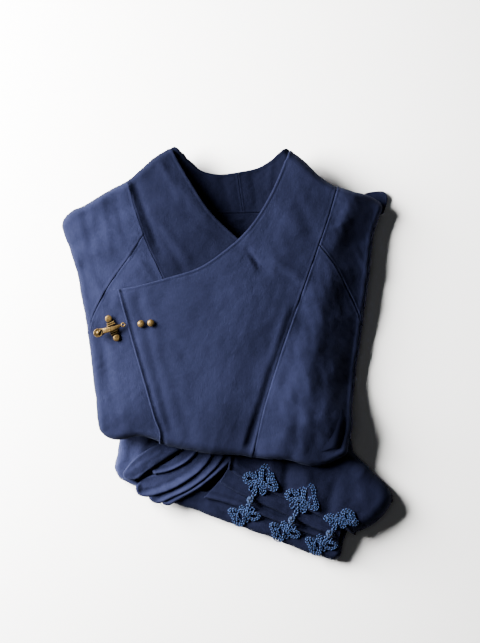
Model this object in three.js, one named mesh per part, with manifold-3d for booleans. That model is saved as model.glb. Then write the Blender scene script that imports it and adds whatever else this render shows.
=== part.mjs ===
// A brushed-wool wrap jacket with a stand collar, folded flat on top of its folded skirt.
// Millimetres. X runs across the shoulders, Y up towards the collar, Z up from the table.
// Every cloth piece is a wall: its outline is drawn flat, and the wall is laid over the
// folded packet below it and turned down round the packet's edge.

import * as THREE from 'three';
import { mergeVertices } from 'three/addons/utils/BufferGeometryUtils.js';
import Module from 'manifold-3d';

const wasm = await Module();
wasm.setup();

// ---------------------------------------------------------------- sizes

const cloth = { wall: 2.5, seamGap: 0.3, layer: 3.6, press: 1.6 };

const jacket = {
  roll: 9,            // radius at which the cloth turns over the packet's edge
  turn: 2.6,          // how far it turns, in radians
  rim: 40,            // height of the top cloth where it starts to turn
  hemLift: 10,        // extra height over the folded skirt
  hemFrom: 0,         // the lift starts at this Y and is complete at hemTo
  hemTo: -100,
  crown: 8,           // how much higher the middle is
  crownReach: 55,
};

// the jacket's two sides slope down to the table; the slope fades out towards the hem
const slope = { left: 6, leftReach: 25, right: 15, rightReach: 36, fadeFrom: -35, fadeTo: -95 };

const skirt = { roll: 7, turn: 2.5, rim: 15, crown: 1.2, crownReach: 30, sideTurn: 1.3, topTurn: 1.6 };

const sash = { wall: 1.8, roll: 2.8, turn: 2.7, top: 22.4, drop: 7.4, dipBy: 0.48, steps: { along: 11, across: 7 } };

const neck = { floor: 23.1, cloth: 26, rise: 9, middle: 6, halfWidth: 76 };

const underside = { start: -58, end: -92, height: 27.5 };   // where the jacket climbs onto the skirt

const cord = { width: 4.4, height: 2.6, clear: 0.9, knot: 4.6, squash: 0.75 };

const brass = { clear: 0.35, plate: 1.8, lug: 5, lever: 3.1, stud: 5.2, studHeight: 3.4 };

// ---------------------------------------------------------------- outlines of the jacket

const leftSide = [
  { x: -236, y: 187 }, { x: -214, y: 125 }, { x: -203, y: 70 }, { x: -193, y: 0 },
  { x: -184, y: -70 }, { x: -180, y: -104 },
];
const leftShoulder = [
  { x: -141, y: 244 }, { x: -164, y: 233 }, { x: -196, y: 212 }, { x: -220, y: 201 }, { x: -236, y: 187 },
];
const leftSlope = [{ x: -76, y: 291 }, { x: -104, y: 275 }, { x: -141, y: 244 }];
const rightSlope = [{ x: 81, y: 288 }, { x: 105, y: 269 }, { x: 130, y: 249 }, { x: 153, y: 236 }];
const rightShoulder = [{ x: 153, y: 236 }, { x: 178, y: 229 }, { x: 196, y: 226 }, { x: 220, y: 212 }];
const rightSide = [
  { x: 220, y: 212 }, { x: 204, y: 167 }, { x: 199, y: 120 }, { x: 189, y: 40 },
  { x: 178, y: -36 }, { x: 174, y: -92 }, { x: 168, y: -138 },
];
const hem = [
  { x: 168, y: -138 }, { x: 150, y: -147 }, { x: 122, y: -155 }, { x: 80, y: -146 }, { x: 34, y: -141 },
  { x: -30, y: -132 }, { x: -81, y: -123 }, { x: -120, y: -113 }, { x: -162, y: -117 }, { x: -180, y: -104 },
];
const beyondNeck = [{ x: 81, y: 288 }, { x: 66, y: 304 }, { x: -60, y: 304 }, { x: -76, y: 291 }];

const seamLeft = {
  upper: [{ x: -141, y: 244 }, { x: -129, y: 202 }, { x: -118, y: 169 }],
  lower: [{ x: -118, y: 169 }, { x: -106, y: 141 }, { x: -90, y: 107 }],
  hidden: [{ x: -90, y: 107 }, { x: -76, y: 80 }],
};
const raglanLeft = [{ x: -118, y: 169 }, { x: -137, y: 139 }, { x: -165, y: 100 }, { x: -186, y: 62 }, { x: -199, y: 30 }];
const seamRight = {
  upper: [{ x: 153, y: 236 }, { x: 141, y: 196 }, { x: 127, y: 155 }],
  lower: [
    { x: 127, y: 155 }, { x: 101, y: 82 }, { x: 74, y: 6 }, { x: 52, y: -64 }, { x: 41, y: -109 }, { x: 34, y: -141 },
  ],
};
const raglanRight = [{ x: 127, y: 155 }, { x: 147, y: 130 }, { x: 168, y: 93 }, { x: 184, y: 58 }, { x: 190, y: 42 }];

const wrapNeck = [
  { x: -154, y: 93 }, { x: -130, y: 97 }, { x: -81, y: 110 }, { x: -39, y: 124 }, { x: 0, y: 151 },
  { x: 31, y: 181 }, { x: 56, y: 220 }, { x: 74, y: 258 }, { x: 80, y: 286 },
];
const wrapEdge = [
  { x: -154, y: 93 }, { x: -140, y: 41 }, { x: -120, y: -29 }, { x: -104, y: -85 }, { x: -96, y: -109 },
];
const underNeck = [
  { x: -74, y: 289 }, { x: -67, y: 272 }, { x: -50, y: 240 }, { x: -25, y: 202 }, { x: 14, y: 164 }, { x: 42, y: 142 },
];
const collarTop = [
  { x: -68, y: 283 }, { x: -46, y: 264 }, { x: -18, y: 251 }, { x: 13, y: 255 },
  { x: 38, y: 261 }, { x: 56, y: 269 }, { x: 71, y: 278 },
];

// soft troughs (negative height) and ridges (positive) along straight lines on the jacket
const jacketFolds = [
  { x0: -130, y0: 240, x1: -96, y1: 150, wide: 11, high: -2.2 },
  { x0: -90, y0: 262, x1: -34, y1: 196, wide: 9, high: 1.8 },
  { x0: 18, y0: 148, x1: 48, y1: 122, wide: 8, high: -2.0 },
  { x0: 64, y0: 134, x1: 100, y1: 112, wide: 9, high: 1.6 },
  { x0: -124, y0: 78, x1: -80, y1: -100, wide: 7, high: -1.5 },
  { x0: 60, y0: -20, x1: 30, y1: -120, wide: 8, high: -1.8 },
  { x0: 166, y0: 200, x1: 186, y1: 118, wide: 10, high: 1.6 },
  { x0: 142, y0: 60, x1: 120, y1: -120, wide: 11, high: -2.0 },
  { x0: 156, y0: 10, x1: 138, y1: -70, wide: 9, high: 1.4 },
  { x0: -205, y0: 176, x1: -180, y1: 92, wide: 11, high: 1.2 },
  { x0: -172, y0: 6, x1: -150, y1: -90, wide: 9, high: -1.4 },
];

// ---------------------------------------------------------------- outlines of the skirt

const skirtOutline = [
  { x: -150, y: -96 }, { x: -157, y: -132 }, { x: -161, y: -160 }, { x: -155, y: -174 }, { x: -130, y: -186 },
  { x: -100, y: -199 }, { x: -53, y: -214 }, { x: 3, y: -233 }, { x: 59, y: -253 }, { x: 105, y: -273 },
  { x: 148, y: -289 }, { x: 160, y: -282 }, { x: 162, y: -262 }, { x: 168, y: -244 }, { x: 198, y: -230 },
  { x: 212, y: -216 }, { x: 222, y: -200 }, { x: 214, y: -187 }, { x: 190, y: -166 }, { x: 166, y: -140 },
  { x: 158, y: -96 }, { x: 0, y: -92 },
];
const upperPanelEdge = [
  { x: -1, y: -159 }, { x: 21, y: -173 }, { x: 66, y: -194 }, { x: 122, y: -222 }, { x: 172, y: -246 },
];
const foldEdgeUpper = [{ x: -12, y: -178 }, { x: 12, y: -192 }, { x: 73, y: -220 }, { x: 129, y: -246 }, { x: 157, y: -256 }];
const foldEdgeLower = [{ x: -34, y: -200 }, { x: -12, y: -205 }, { x: 42, y: -223 }, { x: 101, y: -246 }, { x: 155, y: -265 }];

const skirtFolds = [
  { x0: 96, y0: -168, x1: 176, y1: -206, wide: 8, high: 1.1 },
  { x0: 30, y0: -152, x1: 90, y1: -184, wide: 7, high: -0.9 },
  { x0: -20, y0: -212, x1: 60, y1: -238, wide: 6, high: 0.8 },
  { x0: 90, y0: -256, x1: 140, y1: -276, wide: 6, high: -0.8 },
];

// sash bands lie like shingles: the lower edge of each shows and its upper edge dips under the next
const sashBands = [
  {
    name: 'sash_end', level: -0.9, width: 26, dip: 0,
    show: [
      { x: -42, y: -118 }, { x: -70, y: -135 }, { x: -95, y: -150 }, { x: -115, y: -164 }, { x: -128, y: -174 },
      { x: -141, y: -175 }, { x: -150, y: -167 },
    ],
    hide: [{ x: -88, y: -118 }, { x: -118, y: -135 }, { x: -137, y: -150 }, { x: -150, y: -167 }],
  },
  {
    name: 'sash_inner', level: 0.6, width: 14, dip: 1,
    show: [{ x: -32, y: -118 }, { x: -52, y: -146 }, { x: -82, y: -163 }, { x: -116, y: -168.5 }],
    hide: [{ x: -54, y: -118 }, { x: -76, y: -143 }, { x: -94, y: -153.5 }, { x: -116, y: -168.5 }],
  },
  {
    name: 'sash_loop_1', level: 0, width: 22, dip: 1,
    show: [
      { x: -14, y: -118 }, { x: -26, y: -148 }, { x: -48, y: -170 }, { x: -82, y: -190 }, { x: -116, y: -199 },
      { x: -128, y: -195 }, { x: -131, y: -184 },
    ],
    hide: [
      { x: -38, y: -118 }, { x: -54, y: -143 }, { x: -80, y: -160 }, { x: -118, y: -172 }, { x: -131, y: -184 },
    ],
  },
  {
    name: 'sash_loop_2', level: 0, width: 18, dip: 1,
    show: [
      { x: 8, y: -118 }, { x: -14, y: -155 }, { x: -48, y: -185 }, { x: -78, y: -200 }, { x: -100, y: -208.5 },
      { x: -112, y: -201 },
    ],
    hide: [{ x: -20, y: -118 }, { x: -32, y: -146 }, { x: -54, y: -168 }, { x: -86, y: -186 }, { x: -112, y: -194 }, { x: -112, y: -201 }],
  },
  {
    name: 'sash_loop_3', level: 0, width: 14, dip: 1,
    show: [
      { x: 26, y: -118 }, { x: 8, y: -144 }, { x: -20, y: -171 }, { x: -42, y: -188 }, { x: -66, y: -201 },
      { x: -86, y: -211.5 }, { x: -95, y: -207.5 },
    ],
    hide: [{ x: 2, y: -118 }, { x: -20, y: -154 }, { x: -54, y: -182 }, { x: -84, y: -197 }, { x: -95, y: -207.5 }],
  },
];

// ---------------------------------------------------------------- trimmings

const frogPairs = [
  { upper: { x: 46, y: -174 }, knot: { x: 32, y: -203 }, lower: { x: 22, y: -228 }, tilt: -0.42 },
  { upper: { x: 102, y: -203 }, knot: { x: 90, y: -231 }, lower: { x: 79, y: -251 }, tilt: -0.42 },
  { upper: { x: 157, y: -226 }, knot: { x: 143, y: -250 }, lower: { x: 130, y: -270 }, tilt: -0.42 },
];
// each wing of a butterfly is a loop of cord: how far out it starts and ends, how wide, which way
const frogWings = [
  { from: 2.4, to: 25.5, wide: 15, turn: 0.62, steps: 12 },
  { from: 2.4, to: 17.5, wide: 10, turn: -0.80, steps: 9 },
];

const claspSpot = { top: { x: -169, y: 50.5 }, bottom: { x: -157, y: 24.5 } };
const leverSpot = { cup: { x: -184, y: 31 }, eye: { x: -145, y: 42.5 } };
const studSpots = [{ name: 'stud_1', x: -122, y: 43.5 }, { name: 'stud_2', x: -108.5, y: 44.5 }];

// ---------------------------------------------------------------- materials

const wool = new THREE.MeshStandardMaterial({ color: 0x27406b, roughness: 0.95, metalness: 0 });
const woolInside = new THREE.MeshStandardMaterial({ color: 0x16223f, roughness: 0.95, metalness: 0 });
const woolUnder = new THREE.MeshStandardMaterial({ color: 0x2d4a78, roughness: 0.95, metalness: 0 });
const cordSilk = new THREE.MeshStandardMaterial({ color: 0x5b83b5, roughness: 0.7, metalness: 0 });
const agedBrass = new THREE.MeshStandardMaterial({ color: 0x9a8158, roughness: 0.45, metalness: 0.9 });

// ---------------------------------------------------------------- plan geometry

const ease = (from, to, value) => {
  const part = THREE.MathUtils.clamp((value - from) / (to - from), 0, 1);
  return part * part * (3 - 2 * part);
};

function spline(rows, steps) {
  const points = rows.map((row) => new THREE.Vector3(row.x, row.y, 0));
  const curve = new THREE.CatmullRomCurve3(points, false, 'centripetal');
  return curve.getSpacedPoints(steps).map((point) => new THREE.Vector2(point.x, point.y));
}

function joined(...paths) {
  return paths.flatMap((path, index) => (index === 0 ? path : path.slice(1)));
}

function backwards(path) {
  return [...path].reverse();
}

// the same path with its points spread evenly along it
function evenly(path, steps) {
  const along = [0];
  for (let i = 1; i < path.length; i += 1) along.push(along[i - 1] + path[i].distanceTo(path[i - 1]));
  const total = along[along.length - 1];
  const result = [];
  let leg = 0;
  for (let step = 0; step <= steps; step += 1) {
    const goal = (total * step) / steps;
    while (leg < path.length - 2 && along[leg + 1] < goal) leg += 1;
    const part = (goal - along[leg]) / (along[leg + 1] - along[leg]);
    result.push(path[leg].clone().lerp(path[leg + 1], part));
  }
  return result;
}

// a closed loop of even points, its corners softened
function loopOf(path, spacing, softening) {
  const closed = [...path, path[0]];
  let length = 0;
  for (let i = 1; i < closed.length; i += 1) length += closed[i].distanceTo(closed[i - 1]);
  let loop = evenly(closed, Math.round(length / spacing)).slice(0, -1);
  for (let round = 0; round < softening; round += 1) {
    loop = loop.map((point, i) => {
      const before = loop[(i + loop.length - 1) % loop.length];
      const after = loop[(i + 1) % loop.length];
      return point.clone().multiplyScalar(2).add(before).add(after).multiplyScalar(0.25);
    });
  }
  return loop;
}

function outwardNormals(loop) {
  return loop.map((point, i) => {
    const before = loop[(i + loop.length - 1) % loop.length];
    const after = loop[(i + 1) % loop.length];
    return new THREE.Vector2(after.y - before.y, before.x - after.x).normalize();
  });
}

function nearestOn(loop, point) {
  let best = { distance: Infinity };
  for (let i = 0; i < loop.length; i += 1) {
    const a = loop[i];
    const b = loop[(i + 1) % loop.length];
    const dx = b.x - a.x;
    const dy = b.y - a.y;
    const lengthSquared = dx * dx + dy * dy;
    const raw = ((point.x - a.x) * dx + (point.y - a.y) * dy) / lengthSquared;
    const part = Math.min(1, Math.max(0, raw));
    const x = a.x + dx * part;
    const y = a.y + dy * part;
    const distance = Math.hypot(point.x - x, point.y - y);
    if (distance < best.distance) best = { distance, x, y, index: i + part, nx: dy, ny: -dx };
  }
  return best;
}

function pathDistance(path, point) {
  let distance = Infinity;
  for (let i = 1; i < path.length; i += 1) {
    const leg = path[i].clone().sub(path[i - 1]);
    const part = THREE.MathUtils.clamp(point.clone().sub(path[i - 1]).dot(leg) / leg.lengthSq(), 0, 1);
    distance = Math.min(distance, path[i - 1].clone().addScaledVector(leg, part).distanceTo(point));
  }
  return distance;
}

function isInside(loop, point) {
  let inside = false;
  for (let i = 0, j = loop.length - 1; i < loop.length; j = i, i += 1) {
    const a = loop[i];
    const b = loop[j];
    if (a.y > point.y !== b.y > point.y && point.x < ((b.x - a.x) * (point.y - a.y)) / (b.y - a.y) + a.x) {
      inside = !inside;
    }
  }
  return inside;
}

// the loop moved in (negative) or out (positive), without the small knots that corners would make
function offsetLoop(loop, distance) {
  const normals = outwardNormals(loop);
  const raw = [];
  loop.forEach((point, i) => {
    const normal = normals[i];
    const following = normals[(i + 1) % loop.length];
    const angle = Math.atan2(normal.cross(following), normal.dot(following));
    const fans = Math.max(1, Math.ceil(Math.abs(angle) / 0.25));
    for (let fan = 0; fan < fans; fan += 1) {
      const turned = normal.clone().rotateAround(new THREE.Vector2(), (angle * fan) / fans);
      raw.push(point.clone().addScaledVector(turned, distance));
    }
  });
  return raw.filter((point) => nearestOn(loop, point).distance > Math.abs(distance) * 0.985);
}

function foldHeight(folds, x, y) {
  return folds.reduce((height, fold) => {
    const dx = fold.x1 - fold.x0;
    const dy = fold.y1 - fold.y0;
    const length = Math.hypot(dx, dy);
    const along = ((x - fold.x0) * dx + (y - fold.y0) * dy) / length;
    const beyond = Math.max(0, -along, along - length);
    const across = ((x - fold.x0) * dy - (y - fold.y0) * dx) / length;
    const taper = Math.exp(-((beyond / (fold.wide * 1.6)) ** 2));
    return height + fold.high * taper * Math.exp(-((across / fold.wide) ** 2));
  }, 0);
}

// ---------------------------------------------------------------- laying cloth over a packet

// A packet is a low pillow: its top has a height at each point, and past its fold line the
// cloth turns down round its edge. Plan points past the fold line are cloth laid out flat.
class Packet {
  constructor(outline, roll, heightAt) {
    this.roll = roll;
    this.foldLine = offsetLoop(outline, -roll);
    this.heightAt = heightAt;
  }

  rim(turn) {
    return offsetLoop(this.foldLine, this.roll * turn);
  }

  base(x, y) {
    const spot = nearestOn(this.foldLine, { x, y });
    if (isInside(this.foldLine, { x, y })) {
      return new THREE.Vector3(x, y, this.heightAt(x, y, spot.distance));
    }
    const angle = spot.distance / this.roll;
    const reach = spot.distance > 1e-6 ? (this.roll * Math.sin(angle)) / spot.distance : 1;
    const height = this.heightAt(spot.x, spot.y, 0) - this.roll * (1 - Math.cos(angle));
    return new THREE.Vector3(spot.x + (x - spot.x) * reach, spot.y + (y - spot.y) * reach, height);
  }

  normal(x, y) {
    const step = 0.5;
    const alongX = this.base(x + step, y).sub(this.base(x - step, y));
    const alongY = this.base(x, y + step).sub(this.base(x, y - step));
    return alongX.cross(alongY).normalize();
  }

  place(point, lift) {
    return this.base(point.x, point.y).addScaledVector(this.normal(point.x, point.y), lift);
  }
}

// the part of a rim between two places, the short way round, running from the first to the second
function rimBetween(rim, from, to, steps) {
  const start = nearestOn(rim, from).index;
  const end = nearestOn(rim, to).index;
  const count = rim.length;
  const forward = (end - start + count) % count;
  const goesForward = forward <= count / 2;
  const span = goesForward ? forward : count - forward;
  const path = [];
  const pieces = Math.max(steps * 4, 8);
  for (let i = 0; i <= pieces; i += 1) {
    const raw = start + ((goesForward ? 1 : -1) * span * i) / pieces;
    const wrapped = ((raw % count) + count) % count;
    const index = Math.floor(wrapped);
    path.push(rim[index].clone().lerp(rim[(index + 1) % count], wrapped - index));
  }
  return evenly(path, steps);
}

// rows of plan points between four edges; near and far run the same way, left and right too
function patch({ near, far, left, right }) {
  const across = near.length - 1;
  const up = left.length - 1;
  const grid = [];
  for (let i = 0; i <= across; i += 1) {
    const u = i / across;
    const column = [];
    for (let j = 0; j <= up; j += 1) {
      const v = j / up;
      const blend = (key) => {
        const ruled = (1 - v) * near[i][key] + v * far[i][key] + (1 - u) * left[j][key] + u * right[j][key];
        const corners = (1 - u) * (1 - v) * near[0][key] + u * (1 - v) * near[across][key]
          + (1 - u) * v * far[0][key] + u * v * far[across][key];
        return ruled - corners;
      };
      column.push(new THREE.Vector2(blend('x'), blend('y')));
    }
    grid.push(column);
  }
  return drawnIn(grid, cloth.seamGap / 2);
}

// pulls the border of a grid in, so that neighbours keep the seam gap
function drawnIn(grid, distance) {
  const across = grid.length - 1;
  const up = grid[0].length - 1;
  const copy = grid.map((column) => column.map((point) => point.clone()));
  const pull = (point, tangentFrom, tangentTo, inner, outer) => {
    const tangent = tangentTo.clone().sub(tangentFrom).normalize();
    const inward = inner.clone().sub(outer);
    inward.addScaledVector(tangent, -inward.dot(tangent)).normalize();
    point.addScaledVector(inward, distance);
  };
  for (let i = 0; i <= across; i += 1) {
    const before = Math.max(0, i - 1);
    const after = Math.min(across, i + 1);
    pull(copy[i][0], grid[before][0], grid[after][0], grid[i][1], grid[i][0]);
    pull(copy[i][up], grid[before][up], grid[after][up], grid[i][up - 1], grid[i][up]);
  }
  for (let j = 0; j <= up; j += 1) {
    const before = Math.max(0, j - 1);
    const after = Math.min(up, j + 1);
    pull(copy[0][j], grid[0][before], grid[0][after], grid[1][j], grid[0][j]);
    pull(copy[across][j], grid[across][before], grid[across][after], grid[across - 1][j], grid[across][j]);
  }
  return copy;
}

function geometryFrom(positions, indices) {
  const geometry = new THREE.BufferGeometry();
  geometry.setAttribute('position', new THREE.Float32BufferAttribute(positions, 3));
  geometry.setIndex(indices);
  geometry.computeVertexNormals();
  return geometry;
}

function planArea(grid) {
  const across = grid.length - 1;
  const up = grid[0].length - 1;
  const alongU = grid[across][0].clone().sub(grid[0][0]);
  const alongV = grid[0][up].clone().sub(grid[0][0]);
  return alongU.cross(alongV);
}

// a closed wall between an outer and an inner copy of a grid
function wallGeometry(grid, outerAt, innerAt) {
  const across = grid.length;
  const up = grid[0].length;
  const positions = [];
  [outerAt, innerAt].forEach((at) => {
    grid.forEach((column) => column.forEach((point) => {
      const spot = at(point);
      positions.push(spot.x, spot.y, spot.z);
    }));
  });
  const outer = (i, j) => i * up + j;
  const inner = (i, j) => across * up + i * up + j;
  const indices = [];
  const facesUp = planArea(grid) > 0;
  const quad = (a, b, c, d) => {
    if (facesUp) indices.push(a, b, c, a, c, d);
    else indices.push(a, c, b, a, d, c);
  };
  for (let i = 0; i < across - 1; i += 1) {
    for (let j = 0; j < up - 1; j += 1) {
      quad(outer(i, j), outer(i + 1, j), outer(i + 1, j + 1), outer(i, j + 1));
      quad(inner(i, j), inner(i, j + 1), inner(i + 1, j + 1), inner(i + 1, j));
    }
  }
  for (let i = 0; i < across - 1; i += 1) {
    quad(inner(i, 0), inner(i + 1, 0), outer(i + 1, 0), outer(i, 0));
    quad(outer(i, up - 1), outer(i + 1, up - 1), inner(i + 1, up - 1), inner(i, up - 1));
  }
  for (let j = 0; j < up - 1; j += 1) {
    quad(outer(0, j), outer(0, j + 1), inner(0, j + 1), inner(0, j));
    quad(inner(across - 1, j), inner(across - 1, j + 1), outer(across - 1, j + 1), outer(across - 1, j));
  }
  return geometryFrom(positions, indices);
}

function clothOn(packet, grid, liftAt, wall = cloth.wall) {
  return wallGeometry(
    grid,
    (point) => packet.place(point, liftAt(point)),
    (point) => packet.place(point, liftAt(point) - wall),
  );
}

// ---------------------------------------------------------------- solids

function solidOf(geometry) {
  const bare = geometry.index ? geometry.toNonIndexed() : geometry.clone();
  bare.deleteAttribute('normal');
  bare.deleteAttribute('uv');
  const merged = mergeVertices(bare, 1e-4);
  return new wasm.Manifold(new wasm.Mesh({
    numProp: 3,
    vertProperties: new Float32Array(merged.attributes.position.array),
    triVerts: new Uint32Array(merged.index.array),
  }));
}

function geometryOf(solid) {
  const mesh = solid.getMesh();
  return geometryFrom(Array.from(mesh.vertProperties), Array.from(mesh.triVerts));
}

// a stack of rings round a loop, each with its height and inset, capped below and above
function ringStack(loop, normals, rings) {
  const count = loop.length;
  const positions = [];
  const indices = [];
  const rows = rings.map((ring) => loop.map((point, i) => ring(point, normals[i])));
  rows.forEach((row) => row.forEach((spot) => positions.push(spot.x, spot.y, spot.z)));
  for (let r = 0; r < rows.length - 1; r += 1) {
    for (let i = 0; i < count; i += 1) {
      const next = (i + 1) % count;
      const a = r * count + i;
      const b = r * count + next;
      const c = (r + 1) * count + next;
      const d = (r + 1) * count + i;
      indices.push(a, b, c, a, c, d);
    }
  }
  const cap = (rowIndex, facesUp) => {
    const flat = rows[rowIndex].map((spot) => new THREE.Vector2(spot.x, spot.y));
    THREE.ShapeUtils.triangulateShape(flat, []).forEach(([a, b, c]) => {
      const base = rowIndex * count;
      if (facesUp) indices.push(base + a, base + b, base + c);
      else indices.push(base + a, base + c, base + b);
    });
  };
  cap(0, false);
  cap(rows.length - 1, true);
  return geometryFrom(positions, indices);
}

function prism(path, bottom, top) {
  const shape = new THREE.Shape(path);
  const geometry = new THREE.ExtrudeGeometry(shape, { depth: top - bottom, bevelEnabled: false });
  geometry.translate(0, 0, bottom);
  return geometry;
}

const model = new THREE.Group();

function addPiece(name, geometry, material) {
  const mesh = new THREE.Mesh(geometry, material);
  mesh.name = name;
  model.add(mesh);
  return mesh;
}

// ---------------------------------------------------------------- jacket

const dense = 24;
const jacketOutline = loopOf(joined(
  spline(leftSide, dense),
  backwards(spline(hem, dense)),
  backwards(spline(rightSide, dense)),
  backwards(spline(rightShoulder, dense)),
  backwards(spline(rightSlope, dense)),
  spline(beyondNeck, dense),
  spline(leftSlope, dense),
  spline(leftShoulder, dense),
).slice(0, -1), 4, 2);

const sideLines = { left: spline(leftSide, 8), right: spline(rightSide, 8) };

function sideFall(x, y) {
  const point = new THREE.Vector2(x, y);
  const left = slope.left * Math.exp(-((pathDistance(sideLines.left, point) / slope.leftReach) ** 2));
  const right = slope.right * Math.exp(-((pathDistance(sideLines.right, point) / slope.rightReach) ** 2));
  return (left + right) * (1 - ease(slope.fadeFrom, slope.fadeTo, y));
}

function rimHeight(x, y) {
  return jacket.rim + jacket.hemLift * ease(jacket.hemFrom, jacket.hemTo, y) - sideFall(x, y);
}

function crownHeight(inside) {
  return jacket.crown * (1 - Math.exp(-((inside / jacket.crownReach) ** 2)));
}

function jacketHeight(x, y, inside) {
  return rimHeight(x, y) + crownHeight(inside) + foldHeight(jacketFolds, x, y);
}

const jacketPacket = new Packet(jacketOutline, jacket.roll, jacketHeight);
const jacketRim = jacketPacket.rim(jacket.turn);
const onRim = (row) => {
  const spot = nearestOn(jacketRim, row);
  return { x: spot.x, y: spot.y };
};

const seamSteps = { leftUpper: 5, leftLower: 4, leftHidden: 2, raglan: 9, rightUpper: 5, rightLower: 14 };
const leftTopCorner = onRim(leftSlope[2]);
const leftSeamUpper = spline([leftTopCorner, ...seamLeft.upper], seamSteps.leftUpper + 1);
const leftSeamLower = spline(seamLeft.lower, seamSteps.leftLower);
const leftSeamHidden = spline(seamLeft.hidden, seamSteps.leftHidden);
const leftRaglan = spline([...raglanLeft, onRim(raglanLeft[4])], seamSteps.raglan + 1);
const rightTopCorner = onRim(rightSlope[3]);
const rightSeamUpper = spline([rightTopCorner, ...seamRight.upper], seamSteps.rightUpper + 1);
const rightSeamLower = spline([...seamRight.lower, onRim(seamRight.lower[5])], seamSteps.rightLower + 1);
const rightRaglan = spline([...raglanRight, onRim(raglanRight[4])], seamSteps.raglan + 1);

const level = () => 0;

// wrap panel: lies one layer higher, and comes down to the side front at its princess seam
const rightPeak = { x: 84, y: 299 };
const wrapRight = backwards(joined(rightSeamUpper, rightSeamLower));
const wrapUp = wrapRight.length - 1;
const wrapCorner = onRim({ x: -94, y: -121 });
const wrapLeft = backwards(spline([...wrapEdge, wrapCorner], wrapUp));
const neckSteps = 13;
const slopeSteps = 5;
const wrapTop = joined(
  spline([...wrapNeck, onRim(rightPeak)], neckSteps),
  rimBetween(jacketRim, onRim(rightPeak), rightTopCorner, slopeSteps),
);
const wrapPanel = patch({
  left: wrapLeft,
  right: wrapRight,
  near: rimBetween(jacketRim, wrapCorner, wrapRight[0], neckSteps + slopeSteps),
  far: wrapTop,
});
const princessLine = joined(rightSeamUpper, rightSeamLower);
function wrapLift(point) {
  return cloth.layer * ease(8, 62, pathDistance(princessLine, point));
}
addPiece('front_wrap', clothOn(jacketPacket, wrapPanel, wrapLift), wool);

// what the wrap covers is pressed down a little
const wrapOutline = [...wrapLeft, ...wrapTop.slice(1), ...backwards(wrapRight).slice(1)];
function pressed(point) {
  if (!isInside(wrapOutline, point)) return 0;
  return -cloth.press * ease(0, 9, nearestOn(wrapOutline, point).distance);
}

// under panel: from the left peak of the collar down to the line where the wrap covers it
const leftPeak = { x: -78, y: 300 };
const underLeft = backwards(joined(leftSeamUpper, leftSeamLower, leftSeamHidden));
const underRight = backwards(spline([onRim(leftPeak), ...underNeck], underLeft.length - 1));
const underPanel = patch({
  left: underLeft,
  right: underRight,
  near: evenly([underLeft[0], underRight[0]], 9),
  far: rimBetween(jacketRim, leftTopCorner, onRim(leftPeak), 9),
});
addPiece('front_under', clothOn(jacketPacket, underPanel, pressed), wool);

// sleeves
const leftElbow = onRim({ x: -236, y: 187 });
const leftSleeve = patch({
  near: backwards(leftRaglan),
  far: rimBetween(jacketRim, leftElbow, leftTopCorner, leftRaglan.length - 1),
  left: rimBetween(jacketRim, leftRaglan[leftRaglan.length - 1], leftElbow, seamSteps.leftUpper + 1),
  right: backwards(leftSeamUpper),
});
addPiece('sleeve_left', clothOn(jacketPacket, leftSleeve, level), wool);

const rightElbow = onRim({ x: 220, y: 212 });
const rightSleeve = patch({
  near: rightRaglan,
  far: rimBetween(jacketRim, rightTopCorner, rightElbow, rightRaglan.length - 1),
  left: backwards(rightSeamUpper),
  right: rimBetween(jacketRim, rightRaglan[rightRaglan.length - 1], rightElbow, seamSteps.rightUpper + 1),
});
addPiece('sleeve_right', clothOn(jacketPacket, rightSleeve, level), wool);

// side fronts
const leftHemCorner = onRim({ x: -179, y: -113 });
const underWrap = 14;
const sideLeftInner = joined(
  leftSeamLower,
  spline([{ x: -90, y: 107 }, { x: -112, y: 30 }, { x: -100, y: -29 }, { x: -86, y: -85 }, { x: -78, y: -109 },
    onRim({ x: -74, y: -122 })], underWrap),
);
const sideLeft = patch({
  far: leftRaglan,
  near: rimBetween(jacketRim, sideLeftInner[sideLeftInner.length - 1], leftHemCorner, leftRaglan.length - 1),
  left: backwards(sideLeftInner),
  right: rimBetween(jacketRim, leftHemCorner, leftRaglan[leftRaglan.length - 1], sideLeftInner.length - 1),
});
addPiece('side_front_left', clothOn(jacketPacket, sideLeft, pressed), wool);

const rightHemCorner = onRim({ x: 168, y: -140 });
const sideRight = patch({
  far: rightRaglan,
  near: rimBetween(jacketRim, rightSeamLower[rightSeamLower.length - 1], rightHemCorner, rightRaglan.length - 1),
  left: backwards(rightSeamLower),
  right: rimBetween(jacketRim, rightHemCorner, rightRaglan[rightRaglan.length - 1], rightSeamLower.length - 1),
});
addPiece('side_front_right', clothOn(jacketPacket, sideRight, level), wool);

// ---------------------------------------------------------------- back of the neck

const lerpRow = (a, b, part) => ({ x: a.x + (b.x - a.x) * part, y: a.y + (b.y - a.y) * part });

function neckHeight(point) {
  return neck.cloth + neck.rise * Math.abs((point.x - neck.middle) / neck.halfWidth) ** 3;
}

function neckWall(grid) {
  const at = (drop) => (point) => new THREE.Vector3(point.x, point.y, neckHeight(point) - drop);
  return wallGeometry(grid, at(0), at(cloth.wall));
}

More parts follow.
